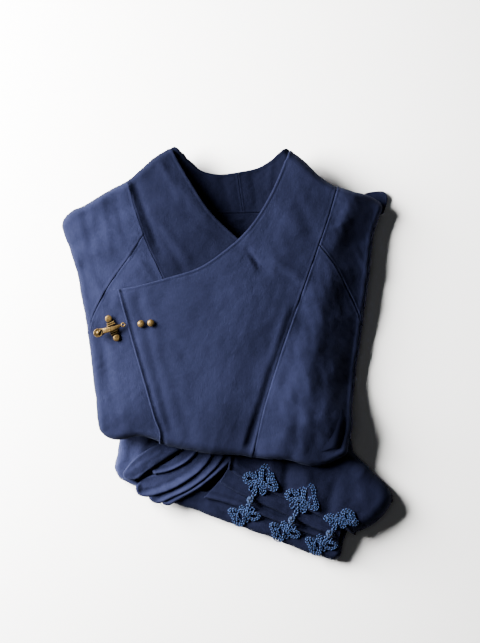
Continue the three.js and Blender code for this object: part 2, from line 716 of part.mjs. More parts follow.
const collarCorner = { left: { x: -47, y: 207 }, right: { x: 64, y: 207 } };
const backSeam = [{ x: 13, y: 255 }, { x: 17, y: 227 }, { x: 21, y: 200 }];
const neckSeam = {
  left: [collarCorner.left, { x: -18, y: 200 }, backSeam[2]],
  right: [backSeam[2], { x: 45, y: 201 }, collarCorner.right],
};
const collarSide = {
  left: [collarTop[0], { x: -62, y: 250 }, { x: -54, y: 226 }, collarCorner.left],
  right: [collarTop[6], { x: 74, y: 248 }, { x: 71, y: 226 }, collarCorner.right],
};
const collarSteps = { across: 7, down: 6 };
addPiece('collar_back_left', neckWall(patch({
  far: spline(collarTop.slice(0, 4), collarSteps.across),
  near: spline(neckSeam.left, collarSteps.across),
  left: backwards(spline(collarSide.left, collarSteps.down)),
  right: backwards(spline(backSeam, collarSteps.down)),
})), woolInside);
addPiece('collar_back_right', neckWall(patch({
  far: spline(collarTop.slice(3), collarSteps.across),
  near: spline(neckSeam.right, collarSteps.across),
  left: backwards(spline(backSeam, collarSteps.down)),
  right: backwards(spline(collarSide.right, collarSteps.down)),
})), woolInside);
const backBottom = [{ x: -22, y: 168 }, { x: 14, y: 156 }, { x: 44, y: 172 }];
addPiece('back_neck', neckWall(patch({
  far: joined(spline(neckSeam.left, collarSteps.across), spline(neckSeam.right, collarSteps.across)),
  near: spline(backBottom, collarSteps.across * 2),
  left: evenly(spline([backBottom[0], collarCorner.left], 1), 3),
  right: evenly(spline([backBottom[2], collarCorner.right], 1), 3),
})), woolInside);

// ---------------------------------------------------------------- folded layers of the jacket

const bodyOutlineRows = [
  { x: -230, y: 186 }, { x: -213, y: 125 }, { x: -202, y: 70 }, { x: -192, y: 0 }, { x: -183, y: -70 },
  { x: -178, y: -104 }, { x: -158, y: -114 }, { x: -120, y: -112 }, { x: -60, y: -125 }, { x: 34, y: -139 },
  { x: 122, y: -150 }, { x: 162, y: -136 }, { x: 172, y: -92 }, { x: 177, y: -36 }, { x: 188, y: 40 },
  { x: 197, y: 120 }, { x: 203, y: 167 }, { x: 213, y: 206 }, { x: 194, y: 223 }, { x: 152, y: 234 },
  { x: 108, y: 263 }, { x: 84, y: 277 }, { x: 62, y: 268 }, { x: 38, y: 257 }, { x: 12, y: 250 },
  { x: -18, y: 247 }, { x: -44, y: 258 }, { x: -68, y: 275 }, { x: -84, y: 280 }, { x: -106, y: 268 },
  { x: -142, y: 241 }, { x: -164, y: 230 }, { x: -196, y: 210 }, { x: -219, y: 199 },
];
const bodySides = [
  { rise: 0.00, inset: 11 }, { rise: 0.00, inset: 5 }, { rise: 0.10, inset: 2.0 }, { rise: 0.26, inset: 1.0 },
  { rise: 0.42, inset: 3.0 }, { rise: 0.50, inset: 7.5 }, { rise: 0.58, inset: 3.5 }, { rise: 0.74, inset: 1.6 },
  { rise: 0.90, inset: 3.6 }, { rise: 1.00, inset: 11.5 },
];
const bodyTop = { inset: 11.5, slack: 4.6, inner: [0.72, 0.42] };
const bodySpine = { x: -5, low: -60, high: 150 };

function pathOf(rows) {
  return rows.map((row) => new THREE.Vector2(row.x, row.y));
}

function evenLoop(path, count) {
  return evenly([...path, path[0]], count).slice(0, -1);
}

const bodyLoop = evenLoop(loopOf(pathOf(bodyOutlineRows), 4, 2), 52);
const bodyTopAt = (x, y) => {
  const inside = nearestOn(jacketPacket.foldLine, { x, y }).distance;
  return rimHeight(x, y) + crownHeight(inside) - cloth.wall - bodyTop.slack;
};
const towardsSpine = (spot, part) => {
  const y = THREE.MathUtils.clamp(spot.y, bodySpine.low, bodySpine.high);
  return { x: bodySpine.x + (spot.x - bodySpine.x) * part, y: y + (spot.y - y) * part };
};
const lowerLayers = (x, y) => rimHeight(x, y) - jacket.roll * 2 + 0.2;
const bodyRings = [
  ...bodySides.map((row) => (point, normal) => {
    const spot = point.clone().addScaledVector(normal, -row.inset);
    return new THREE.Vector3(spot.x, spot.y, row.rise * lowerLayers(spot.x, spot.y));
  }),
  (point, normal) => {
    const spot = point.clone().addScaledVector(normal, -bodyTop.inset);
    return new THREE.Vector3(spot.x, spot.y, rimHeight(spot.x, spot.y) - cloth.wall - bodyTop.slack);
  },
  ...bodyTop.inner.map((part) => (point) => {
    const spot = towardsSpine(point, part);
    return new THREE.Vector3(spot.x, spot.y, bodyTopAt(spot.x, spot.y));
  }),
];
let bodySolid = solidOf(ringStack(bodyLoop, outwardNormals(bodyLoop), bodyRings));

// the neck well
const wellRows = [
  { x: -76, y: 300 }, { x: -74, y: 268 }, { x: -63, y: 236 }, { x: -58, y: 204 }, { x: -44, y: 168 },
  { x: 14, y: 140 }, { x: 58, y: 164 }, { x: 74, y: 206 }, { x: 80, y: 236 }, { x: 82, y: 268 }, { x: 84, y: 300 },
];
bodySolid = bodySolid.subtract(solidOf(prism(pathOf(wellRows), neck.floor, 90)));

// the jacket climbs onto the skirt
const wide = 300;
const climb = new THREE.Shape([
  new THREE.Vector2(underside.start, -1), new THREE.Vector2(underside.end, underside.height),
  new THREE.Vector2(-wide, underside.height), new THREE.Vector2(-wide, -1),
]);
const climbGeometry = new THREE.ExtrudeGeometry(climb, { depth: wide * 2, bevelEnabled: false });
climbGeometry.rotateX(Math.PI / 2);
climbGeometry.rotateZ(Math.PI / 2);
climbGeometry.translate(-wide, 0, 0);
bodySolid = bodySolid.subtract(solidOf(climbGeometry));

// the corner of the back that pokes out behind the right shoulder
const shoulderCorner = {
  low: 4.4, wall: 2.5,
  out: [{ x: 183, y: 225 }, { x: 203, y: 231 }, { x: 221, y: 230.5 }, { x: 225, y: 222 }, { x: 219, y: 200 }],
  in: [{ x: 180, y: 214 }, { x: 192, y: 211 }, { x: 203, y: 206 }, { x: 206, y: 200 }, { x: 207, y: 196 }],
};
const cornerGrid = patch({
  near: spline(shoulderCorner.in, 8),
  far: spline(shoulderCorner.out, 8),
  left: evenly(pathOf([shoulderCorner.in[0], shoulderCorner.out[0]]), 3),
  right: evenly(pathOf([shoulderCorner.in[4], shoulderCorner.out[4]]), 3),
});
const cornerAt = (drop) => (point) => new THREE.Vector3(point.x, point.y, shoulderCorner.low - drop);
addPiece('back_shoulder_right', wallGeometry(cornerGrid, cornerAt(0), cornerAt(shoulderCorner.wall)), wool);
const cornerSlot = wallGeometry(
  drawnIn(cornerGrid, -0.6),
  cornerAt(-cloth.seamGap),
  cornerAt(shoulderCorner.wall + cloth.seamGap),
);
bodySolid = bodySolid.subtract(solidOf(cornerSlot));
addPiece('body_core', geometryOf(bodySolid), woolInside);

// ---------------------------------------------------------------- skirt

const skirtLoop = loopOf(pathOf(skirtOutline), 4, 2);
function skirtHeight(x, y, inside) {
  const crown = skirt.crown * (1 - Math.exp(-((inside / skirt.crownReach) ** 2)));
  return skirt.rim + crown + foldHeight(skirtFolds, x, y);
}
const skirtPacket = new Packet(skirtLoop, skirt.roll, skirtHeight);
const skirtRim = skirtPacket.rim(skirt.turn);
const sideRim = skirtPacket.rim(skirt.sideTurn);
const topRim = skirtPacket.rim(skirt.topTurn);
const onSkirtRim = (row, rim = skirtRim) => {
  const spot = nearestOn(rim, row);
  return { x: spot.x, y: spot.y };
};
const raised = (layers) => () => layers * cloth.layer;

const sideFold = { top: { x: -152, y: -104 }, bottom: { x: -133, y: -186 } };
const sideFoldRows = [
  { x: -78, y: -104 }, { x: -86, y: -124 }, { x: -111, y: -142 }, { x: -131, y: -156 }, { x: -141, y: -169 },
  { x: -134, y: -181 },
];
const sideSinks = -0.3;     // layers by which the side panel lies below the rest, to pass under the sash
addPiece('skirt_side_left', clothOn(skirtPacket, patch({
  left: rimBetween(skirtRim, onSkirtRim(sideFold.top), onSkirtRim(sideFold.bottom), 12),
  right: spline(sideFoldRows, 12),
  near: evenly(pathOf([onSkirtRim(sideFold.top), sideFoldRows[0]]), 8),
  far: evenly(pathOf([onSkirtRim(sideFold.bottom), sideFoldRows[5]]), 8),
}), raised(sideSinks)), woolUnder);

// lower front panel, rolled round the bottom edge
const lowerPanel = { left: { x: -74, y: -211 }, corner: { x: 158, y: -290 }, right: { x: 167, y: -246 } };
const lowerTop = [{ x: -45, y: -192 }, ...foldEdgeLower.slice(1).map((row) => ({ x: row.x + 2, y: row.y + 9 }))];
const lowerEnd = onSkirtRim(lowerPanel.right, sideRim);
addPiece('skirt_front_lower', clothOn(skirtPacket, patch({
  near: rimBetween(skirtRim, onSkirtRim(lowerPanel.left), onSkirtRim(lowerPanel.corner), 24),
  far: spline([...lowerTop, lowerEnd], 24),
  left: evenly(pathOf([onSkirtRim(lowerPanel.left), lowerTop[0]]), 7),
  right: evenly(joined(rimBetween(skirtRim, onSkirtRim(lowerPanel.corner), onSkirtRim({ x: 163, y: -262 }), 4),
    pathOf([onSkirtRim({ x: 163, y: -262 }), lowerEnd])), 7),
}), level), woolUnder);

// two folds between the panels: each a strip with its lower edge free
function foldStrip(name, edge, cover, layers) {
  const top = cover.map((row) => ({ x: row.x + 5, y: row.y + 8 }));
  top[top.length - 1] = { x: edge[edge.length - 1].x + 2, y: top[top.length - 1].y };
  addPiece(name, clothOn(skirtPacket, patch({
    near: spline(edge, 20),
    far: spline(top, 20),
    left: evenly(pathOf([edge[0], top[0]]), 3),
    right: evenly(pathOf([edge[edge.length - 1], top[top.length - 1]]), 3),
  }), raised(layers)), woolUnder);
}
foldStrip('placket_fold_lower', foldEdgeLower, foldEdgeUpper, 1);
foldStrip('placket_fold_upper', foldEdgeUpper, upperPanelEdge, 2);

// upper front panel: its placket edge is free, its right side rolls down
const upperPanel = {
  top: [{ x: 24, y: -106 }, { x: 90, y: -106 }, { x: 150, y: -108 }],
  corner: { x: 226, y: -200 },
};
const upperTopEnd = onSkirtRim({ x: 162, y: -120 }, topRim);
const upperEdgeEnd = onSkirtRim(upperPanelEdge[4], topRim);
const upperCorner = onSkirtRim(upperPanel.corner, topRim);
addPiece('skirt_front_upper', clothOn(skirtPacket, patch({
  near: spline([...upperPanelEdge.slice(0, -1), upperEdgeEnd], 18),
  far: joined(spline([...upperPanel.top, upperTopEnd], 11), rimBetween(topRim, upperTopEnd, upperCorner, 7)),
  left: spline([upperPanelEdge[0], { x: 10, y: -132 }, upperPanel.top[0]], 9),
  right: rimBetween(topRim, upperEdgeEnd, upperCorner, 9),
}), raised(3)), woolUnder);

// ---------------------------------------------------------------- sash

function bandGeometry(band) {
  const outline = loopOf(joined(spline(band.show, 24), backwards(spline(band.hide, 24))), 3, 2);
  const ccw = THREE.ShapeUtils.area(outline) > 0 ? outline : backwards(outline);
  const edge = spline(band.show, 30);
  const heightAt = (x, y) => {
    const part = ease(0, band.width * sash.dipBy, pathDistance(edge, new THREE.Vector2(x, y)));
    return sash.top + band.level - band.dip * sash.drop * part;
  };
  const packet = new Packet(ccw, sash.roll, heightAt);
  const rim = packet.rim(sash.turn);
  const place = (row) => onSkirtRim(row, rim);
  const showEnd = place(band.show[band.show.length - 2]);
  const hideEnd = place(band.hide[band.hide.length - 2]);
  const grid = patch({
    near: rimBetween(rim, place(band.show[0]), showEnd, sash.steps.along),
    far: rimBetween(rim, place(band.hide[0]), hideEnd, sash.steps.along),
    left: evenly(pathOf([place(band.show[0]), place(band.hide[0])]), sash.steps.across),
    right: rimBetween(rim, showEnd, hideEnd, sash.steps.across),
  });
  return clothOn(packet, grid, level, sash.wall);
}

sashBands.forEach((band) => addPiece(band.name, bandGeometry(band), woolUnder));

// ---------------------------------------------------------------- folded layers of the skirt

const skirtSlabs = [
  { bottom: 0, top: 8.8, sides: [8, 3, 0, 0.6, 3], rows: [
    { x: -147, y: -100 }, { x: -152, y: -132 }, { x: -154, y: -158 }, { x: -145, y: -173 }, { x: -100, y: -189 },
    { x: -53, y: -205 }, { x: 3, y: -224 }, { x: 59, y: -244 }, { x: 105, y: -264 }, { x: 143, y: -278 },
    { x: 151, y: -272 }, { x: 154, y: -254 }, { x: 168, y: -236 }, { x: 196, y: -224 }, { x: 208, y: -212 },
    { x: 216, y: -200 }, { x: 206, y: -186 }, { x: 180, y: -164 }, { x: 156, y: -132 }, { x: 148, y: -100 },
  ] },
  { bottom: 8.4, top: 11.4, sides: [3, 1, 0, 1, 3], rows: [
    { x: 38, y: -106 }, { x: 16, y: -142 }, { x: -12, y: -178 }, { x: -38, y: -199 }, { x: -46, y: -208 },
    { x: 3, y: -222 }, { x: 59, y: -242 }, { x: 105, y: -262 }, { x: 140, y: -275 }, { x: 148, y: -268 },
    { x: 150, y: -250 }, { x: 164, y: -232 }, { x: 170, y: -200 }, { x: 150, y: -150 }, { x: 140, y: -106 },
  ] },
  { bottom: 11.0, top: 22.3, sides: [3, 1, 0, 1, 3], rows: [
    { x: 44, y: -102 }, { x: 30, y: -130 }, { x: 34, y: -160 }, { x: 76, y: -182 }, { x: 128, y: -208 },
    { x: 170, y: -228 }, { x: 194, y: -220 }, { x: 206, y: -206 }, { x: 208, y: -198 }, { x: 198, y: -188 },
    { x: 172, y: -166 }, { x: 150, y: -136 }, { x: 140, y: -102 },
  ] },
];
function slabSolid(slab) {
  const loop = evenLoop(loopOf(pathOf(slab.rows), 4, 2), 36);
  const rings = slab.sides.map((inset, index) => (point, normal) => {
    const part = index === 0 ? 0 : (index - 0.5) / (slab.sides.length - 1.5);
    const spot = point.clone().addScaledVector(normal, -inset);
    return new THREE.Vector3(spot.x, spot.y, slab.bottom + (slab.top - slab.bottom) * Math.min(1, part));
  });
  return solidOf(ringStack(loop, outwardNormals(loop), rings));
}
const skirtSolid = skirtSlabs.map(slabSolid).reduce((whole, slab) => whole.add(slab));
addPiece('skirt_core', geometryOf(skirtSolid), woolInside);

// ---------------------------------------------------------------- frogs and knots

// a flat band of cords, side by side, laid along a plan path
function cordGeometry(path, heightOf, closed, width = cord.width, height = cord.height) {
  const half = { across: width / 2, up: height / 2 };
  const corners = [
    [half.across, -half.up], [half.across, half.up], [-half.across, half.up], [-half.across, -half.up],
  ];
  const sides = corners.length;
  const positions = [];
  const indices = [];
  const count = path.length;
  path.forEach((point, i) => {
    const before = closed ? path[(i + count - 1) % count] : path[Math.max(0, i - 1)];
    const after = closed ? path[(i + 1) % count] : path[Math.min(count - 1, i + 1)];
    const along = after.clone().sub(before).normalize();
    const middle = heightOf(point);
    corners.forEach(([across, up]) => {
      positions.push(point.x + along.y * across, point.y - along.x * across, middle + up);
    });
  });
  const rings = closed ? count : count - 1;
  for (let i = 0; i < rings; i += 1) {
    const next = (i + 1) % count;
    for (let side = 0; side < sides; side += 1) {
      const other = (side + 1) % sides;
      indices.push(i * sides + side, next * sides + other, i * sides + other);
      indices.push(i * sides + side, next * sides + side, next * sides + other);
    }
  }
  if (!closed) {
    for (let side = 1; side < sides - 1; side += 1) {
      indices.push(0, side, side + 1);
      const last = (count - 1) * sides;
      indices.push(last, last + side + 1, last + side);
    }
  }
  return geometryFrom(positions, indices);
}

function wingPath(wing, mirror) {
  const points = [];
  for (let i = 0; i < wing.steps; i += 1) {
    const angle = (i * 2 * Math.PI) / wing.steps;
    const out = (wing.from + wing.to) / 2 + ((wing.to - wing.from) / 2) * Math.cos(angle);
    const across = (wing.wide / 2) * Math.sin(angle) * (1 + 0.22 * Math.cos(angle));
    const point = new THREE.Vector2(out, across).rotateAround(new THREE.Vector2(), wing.turn);
    points.push(new THREE.Vector2(point.x * mirror, point.y));
  }
  return mirror > 0 ? points : backwards(points);
}

function frogSolid(centre, tilt, heightOf, stem) {
  const place = (point) => point.clone().rotateAround(new THREE.Vector2(), tilt).add(centre);
  let solid = solidOf(cordGeometry(stem, heightOf, false));
  [1, -1].forEach((mirror) => frogWings.forEach((wing) => {
    solid = solid.add(solidOf(cordGeometry(wingPath(wing, mirror).map(place), heightOf, true)));
  }));
  return solid;
}

const lowerFoldLine = spline(foldEdgeLower, 30);
const upperEdgeLine = spline(upperPanelEdge, 30);
function isAbove(line, point) {
  const nearest = line.reduce((best, spot) => (spot.distanceTo(point) < best.distanceTo(point) ? spot : best));
  return point.y > nearest.y;
}
// height of the cloth that carries a frog, eased over each free edge
const carried = {
  upper: (point) => skirtPacket.place(point, 3 * cloth.layer).z,
  lower: (point) => {
    const near = pathDistance(lowerFoldLine, point);
    const step = isAbove(lowerFoldLine, point) ? 1 : ease(7, 2, near);
    return skirtPacket.place(point, cloth.layer * step).z;
  },
  between: (point) => {
    const near = pathDistance(upperEdgeLine, point);
    const step = isAbove(upperEdgeLine, point) ? 3 : 2 + ease(7, 2, near);
    return skirtPacket.place(point, cloth.layer * step).z;
  },
};
const onCloth = (heightOf, size) => (point) => heightOf(point) + size / 2 + cord.clear;

frogPairs.forEach((pair, index) => {
  const number = index + 1;
  const upper = new THREE.Vector2(pair.upper.x, pair.upper.y);
  const lower = new THREE.Vector2(pair.lower.x, pair.lower.y);
  const knot = new THREE.Vector2(pair.knot.x, pair.knot.y);
  const toKnot = (from) => knot.clone().sub(from).setLength(cord.knot + cord.height / 2);
  const pastCentre = (centre) => centre.clone().sub(knot.clone().sub(centre).setLength(cord.width));
  const upperStem = evenly([pastCentre(upper), knot.clone().sub(toKnot(upper))], 5);
  const lowerStem = evenly([pastCentre(lower), knot.clone().sub(toKnot(lower))], 5);
  const upperSolid = frogSolid(upper, pair.tilt, onCloth(carried.between, cord.height), upperStem);
  addPiece(`frog_upper_${number}`, geometryOf(upperSolid), cordSilk);
  const lowerSolid = frogSolid(lower, pair.tilt, onCloth(carried.lower, cord.height), lowerStem);
  addPiece(`frog_lower_${number}`, geometryOf(lowerSolid), cordSilk);
  const ball = new THREE.SphereGeometry(cord.knot, 10, 7);
  ball.rotateX(Math.PI / 2);
  ball.scale(1, 1, cord.squash);
  ball.translate(knot.x, knot.y, carried.between(knot) + cord.knot * cord.squash + brass.clear);
  addPiece(`frog_knot_${number}`, ball, cordSilk);
});

// ---------------------------------------------------------------- clasp and studs

function plateOutline(top, bottom) {
  const along = new THREE.Vector2(bottom.x - top.x, bottom.y - top.y);
  const turn = along.angle();
  const shape = new THREE.Shape();
  shape.absarc(0, 0, brass.lug, Math.PI / 3, (Math.PI * 5) / 3, false);
  shape.absarc(along.length(), 0, brass.lug, (-2 * Math.PI) / 3, (2 * Math.PI) / 3, false);
  shape.closePath();
  return { shape, turn };
}
const clothTop = (spot, lift = 0) => jacketPacket.place(new THREE.Vector2(spot.x, spot.y), lift).z;
const claspParts = [-0.2, 0, 0.25, 0.5, 0.75, 1, 1.2];
const claspSides = [-brass.lug, 0, brass.lug];
const claspRest = brass.clear + Math.max(...claspParts.flatMap((part) => claspSides.map((side) => {
  const spot = lerpRow(claspSpot.top, claspSpot.bottom, part);
  return clothTop({ x: spot.x + side, y: spot.y });
})));
const { shape: plateShape, turn: plateTurn } = plateOutline(claspSpot.top, claspSpot.bottom);
const plateGeometry = new THREE.ExtrudeGeometry(plateShape, {
  depth: brass.plate, bevelEnabled: true, bevelSize: 0.6, bevelThickness: 0.5, bevelSegments: 1, curveSegments: 6,
});
const claspBase = addPiece('clasp_base', plateGeometry, agedBrass);
claspBase.rotation.z = plateTurn;
claspBase.position.set(claspSpot.top.x, claspSpot.top.y, claspRest + 0.5);

// the lever is turned: a cup at one end, a waist, and a neck down to the ring
const leverLength = Math.hypot(leverSpot.eye.x - leverSpot.cup.x, leverSpot.eye.y - leverSpot.cup.y);
const leverRows = [
  { along: -5.6, radius: 0 }, { along: -5.2, radius: 2.6 }, { along: -3.4, radius: 4.6 }, { along: 0, radius: 5.4 },
  { along: 3.4, radius: 4.8 }, { along: 5.0, radius: 3.4 }, { along: 8.0, radius: 3.1 }, { along: 20, radius: brass.lever - 0.3 },
  { along: 22, radius: 3.5 }, { along: 24, radius: 2.6 }, { along: leverLength - 4.4, radius: 1.9 },
  { along: leverLength - 4.4, radius: 0 },
];
const leverGeometry = new THREE.LatheGeometry(leverRows.map((row) => new THREE.Vector2(row.radius, row.along)), 10);
leverGeometry.rotateZ(-Math.PI / 2);
const leverTurn = Math.atan2(leverSpot.eye.y - leverSpot.cup.y, leverSpot.eye.x - leverSpot.cup.x);
const leverHeight = claspRest + brass.plate + 1 + brass.clear + brass.lever;
const lever = addPiece('clasp_lever', leverGeometry, agedBrass);
lever.rotation.z = leverTurn;
lever.position.set(leverSpot.cup.x, leverSpot.cup.y, leverHeight);

const ringGeometry = new THREE.TorusGeometry(2.9, 1.1, 6, 12);
const ring = addPiece('clasp_ring', ringGeometry, agedBrass);
ring.position.set(leverSpot.eye.x, leverSpot.eye.y, leverHeight);

const studProfile = [
  { radius: 0, height: 0 }, { radius: brass.stud, height: 0 }, { radius: brass.stud, height: 0.8 },
  { radius: brass.stud * 0.86, height: 1.9 }, { radius: brass.stud * 0.5, height: 3.0 }, { radius: 0, height: brass.studHeight },
];
studSpots.forEach((spot) => {
  const geometry = new THREE.LatheGeometry(studProfile.map((row) => new THREE.Vector2(row.radius, row.height)), 14);
  geometry.rotateX(Math.PI / 2);
  const stud = addPiece(spot.name, geometry, agedBrass);
  const point = new THREE.Vector2(spot.x, spot.y);
  const rest = Math.max(...[-1, 0, 1].map((side) => clothTop({ x: spot.x + side * brass.stud, y: spot.y },
    wrapLift(point))));
  stud.position.set(spot.x, spot.y, rest + brass.clear);
});

// ---------------------------------------------------------------- origin under the middle

const bounds = new THREE.Box3().setFromObject(model, true);
model.position.set(-(bounds.min.x + bounds.max.x) / 2, -(bounds.min.y + bounds.max.y) / 2, -bounds.min.z);
model.updateMatrixWorld(true);

export default model;
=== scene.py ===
import math
import bpy
import bmesh
import numpy as np
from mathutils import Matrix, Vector


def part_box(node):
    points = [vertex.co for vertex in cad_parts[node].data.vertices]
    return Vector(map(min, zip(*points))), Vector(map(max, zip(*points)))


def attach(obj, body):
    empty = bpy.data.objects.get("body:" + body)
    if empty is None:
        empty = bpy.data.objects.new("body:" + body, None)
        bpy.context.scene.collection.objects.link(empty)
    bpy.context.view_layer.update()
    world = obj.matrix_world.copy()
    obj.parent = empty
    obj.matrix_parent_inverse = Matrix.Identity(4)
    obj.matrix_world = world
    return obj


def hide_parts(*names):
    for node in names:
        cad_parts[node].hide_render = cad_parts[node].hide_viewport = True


# A folded wrap jacket and skirt in brushed wool. Plan tables are in millimetres, x across and y up
# to the collar, and every finished mesh is in metres in the frame of the solids.

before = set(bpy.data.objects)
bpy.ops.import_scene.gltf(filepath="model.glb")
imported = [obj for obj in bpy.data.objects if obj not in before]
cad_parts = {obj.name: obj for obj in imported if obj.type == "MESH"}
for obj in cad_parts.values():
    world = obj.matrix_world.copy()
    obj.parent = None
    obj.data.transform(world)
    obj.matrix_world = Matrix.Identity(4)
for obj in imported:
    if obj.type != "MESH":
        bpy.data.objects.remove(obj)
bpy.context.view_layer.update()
print("frame loaded")

firstKnot = (32, -203)


def middleOf(name):
    # the middle of a solid, in millimetres
    return np.array([(low + high) * 500 for low, high in zip(*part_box(name))])


# the step from the plan to the frame, found from the first knot button
planShift = middleOf("frog_knot_1") * [1, 1, 0] - [*firstKnot, 0]

# camera, light and floor

view = {"middle": (16.8, 46.2), "height": 3000, "level": 35, "lens": 120.2, "sensor": 36}
lamps = [
    {"name": "window", "place": (-1170, 490, 550), "aim": (-10, 0, 20), "size": (860, 860), "power": 405,
     "colour": (1.0, 0.985, 0.96)},
    {"name": "ceiling", "place": (-200, 50, 1800), "aim": (0, 0, 0), "size": (1200, 1200), "power": 0.9,
     "colour": (0.95, 0.97, 1.0)},
]


def inMetres(point):
    return Vector((point[0] / 1000, point[1] / 1000, point[2] / 1000))


def addCamera():
    data = bpy.data.cameras.new("camera")
    data.type = "PERSP"
    data.sensor_fit = "VERTICAL"
    data.sensor_height = view["sensor"]
    data.sensor_width = view["sensor"]
    data.lens = view["lens"]
    data.clip_end = 20
    camera = bpy.data.objects.new("camera", data)
    camera.location = inMetres((view["middle"][0], view["middle"][1], view["height"] + view["level"]))
    bpy.context.collection.objects.link(camera)
    bpy.context.scene.camera = camera


def addLamps():
    for lamp in lamps:
        data = bpy.data.lights.new(lamp["name"], "AREA")
        data.shape = "RECTANGLE"
        data.size = lamp["size"][0] / 1000
        data.size_y = lamp["size"][1] / 1000
        data.energy = lamp["power"]
        data.color = lamp["colour"]
        item = bpy.data.objects.new(lamp["name"], data)
        item.location = inMetres(lamp["place"])
        towards = inMetres(lamp["aim"]) - item.location
        item.rotation_euler = towards.to_track_quat("-Z", "Y").to_euler()
        bpy.context.collection.objects.link(item)


room = {"glow": (0.9, 0.93, 1.0), "strength": 0.015, "floor": (0.93, 0.93, 0.93), "rough": 0.9, "reach": 6,
        "below": 0.4}


def meshOf(form, name):
    mesh = bpy.data.meshes.new(name)
    form.to_mesh(mesh)
    form.free()
    return mesh


def addRoom():
    world = bpy.data.worlds.new("room")
    world.use_nodes = True
    background = world.node_tree.nodes["Background"]
    background.inputs["Color"].default_value = (*room["glow"], 1)
    background.inputs["Strength"].default_value = room["strength"]
    bpy.context.scene.world = world
    form = bmesh.new()
    bmesh.ops.create_grid(form, x_segments=1, y_segments=1, size=room["reach"])
    mesh = meshOf(form, "floor")
    floor = bpy.data.objects.new("floor", mesh)
    floor.location.z = -room["below"] / 1000
    bpy.context.collection.objects.link(floor)
    paint = bpy.data.materials.new("floor")
    paint.use_nodes = True
    shader = paint.node_tree.nodes["Principled BSDF"]
    shader.inputs["Base Color"].default_value = (*room["floor"], 1)
    shader.inputs["Roughness"].default_value = room["rough"]
    mesh.materials.append(paint)


addCamera()
addLamps()
addRoom()
print("camera, light and floor made")


# shader maths: a socket that takes part in sums

class Wire:
    def __init__(self, finish, socket):
        self.finish = finish
        self.socket = socket

    def sum(self, operation, first, second):
        return self.finish.node("ShaderNodeMath", {"operation": operation}, {0: first, 1: second})

    def __add__(self, other):
        return self.sum("ADD", self, other)

    def __radd__(self, other):
        return self.sum("ADD", other, self)

    def __sub__(self, other):
        return self.sum("SUBTRACT", self, other)

    def __rsub__(self, other):
        return self.sum("SUBTRACT", other, self)

    def __mul__(self, other):
        return self.sum("MULTIPLY", self, other)

    def __rmul__(self, other):
        return self.sum("MULTIPLY", other, self)


class Finish:
    def __init__(self, name):
        self.material = bpy.data.materials.new(name)
        self.material.use_nodes = True
        self.tree = self.material.node_tree
        self.shader = self.tree.nodes["Principled BSDF"]

    def feed(self, socket, value):
        if isinstance(value, Wire):
            self.tree.links.new(value.socket, socket)
        elif hasattr(value, "__len__") and socket.type == "RGBA" and len(value) == 3:
            socket.default_value = (*value, 1)
        else:
            socket.default_value = value

    def node(self, kind, settings=None, inputs=None, output=0):
        made = self.tree.nodes.new(kind)
        for key, value in (settings or {}).items():
            if key == "stops":
                while len(made.color_ramp.elements) < len(value):
                    made.color_ramp.elements.new(0.5)
                for element, (place, colour) in zip(made.color_ramp.elements, value):
                    element.position = place
                    element.color = (*colour, 1)
            else:
                setattr(made, key, value)
        for key, value in (inputs or {}).items():
            self.feed(made.inputs[key], value)
        return Wire(self, made.outputs[output])

    def clothMap(self, turn=0.0, stretch=(1, 1, 1)):
        spot = self.node("ShaderNodeUVMap", {"uv_map": "cloth"})
        inputs = {"Vector": spot, "Rotation": (0, 0, turn), "Scale": stretch}
        return self.node("ShaderNodeMapping", {}, inputs)

    def noise(self, spot, scale, detail=2.0, rough=0.5):
        inputs = {"Vector": spot, "Scale": scale, "Detail": detail, "Roughness": rough}
        return self.node("ShaderNodeTexNoise", {}, inputs)

    def between(self, wire, low, high, newLow=0.0, newHigh=1.0):
        return self.node("ShaderNodeMapRange", {"clamp": True},
                         {0: wire, 1: low, 2: high, 3: newLow, 4: newHigh})

    def blend(self, part, first, second):
        return self.node("ShaderNodeMix", {"data_type": "RGBA"}, {0: part, 6: first, 7: second}, output=2)

    def bump(self, height, strength, distance, under=None):
        inputs = {"Height": height, "Strength": strength, "Distance": distance}
        if under:
            inputs["Normal"] = under
        return self.node("ShaderNodeBump", {}, inputs)

    def surface(self, **values):
        for key, value in values.items():
            self.feed(self.shader.inputs[key], value)
        return self.material


# finishes

woolLook = {
    "deep": (0.0027, 0.0036, 0.0118),
    "body": (0.0046, 0.0057, 0.0172),
    "pale": (0.0089, 0.0104, 0.0275),
    # scale, detail and roughness of each noise, from the widest patches to single fibres
    "patches": (17, 3, 0.55),
    "blotches": (85, 4, 0.6),
    "streaks": (700, 4, 0.6),
    "fibres": (2100, 3, 0.65),
    "napTurn": 0.95,
    "sheen": 0.035,
    "sheenTint": (0.50, 0.60, 0.95),
}


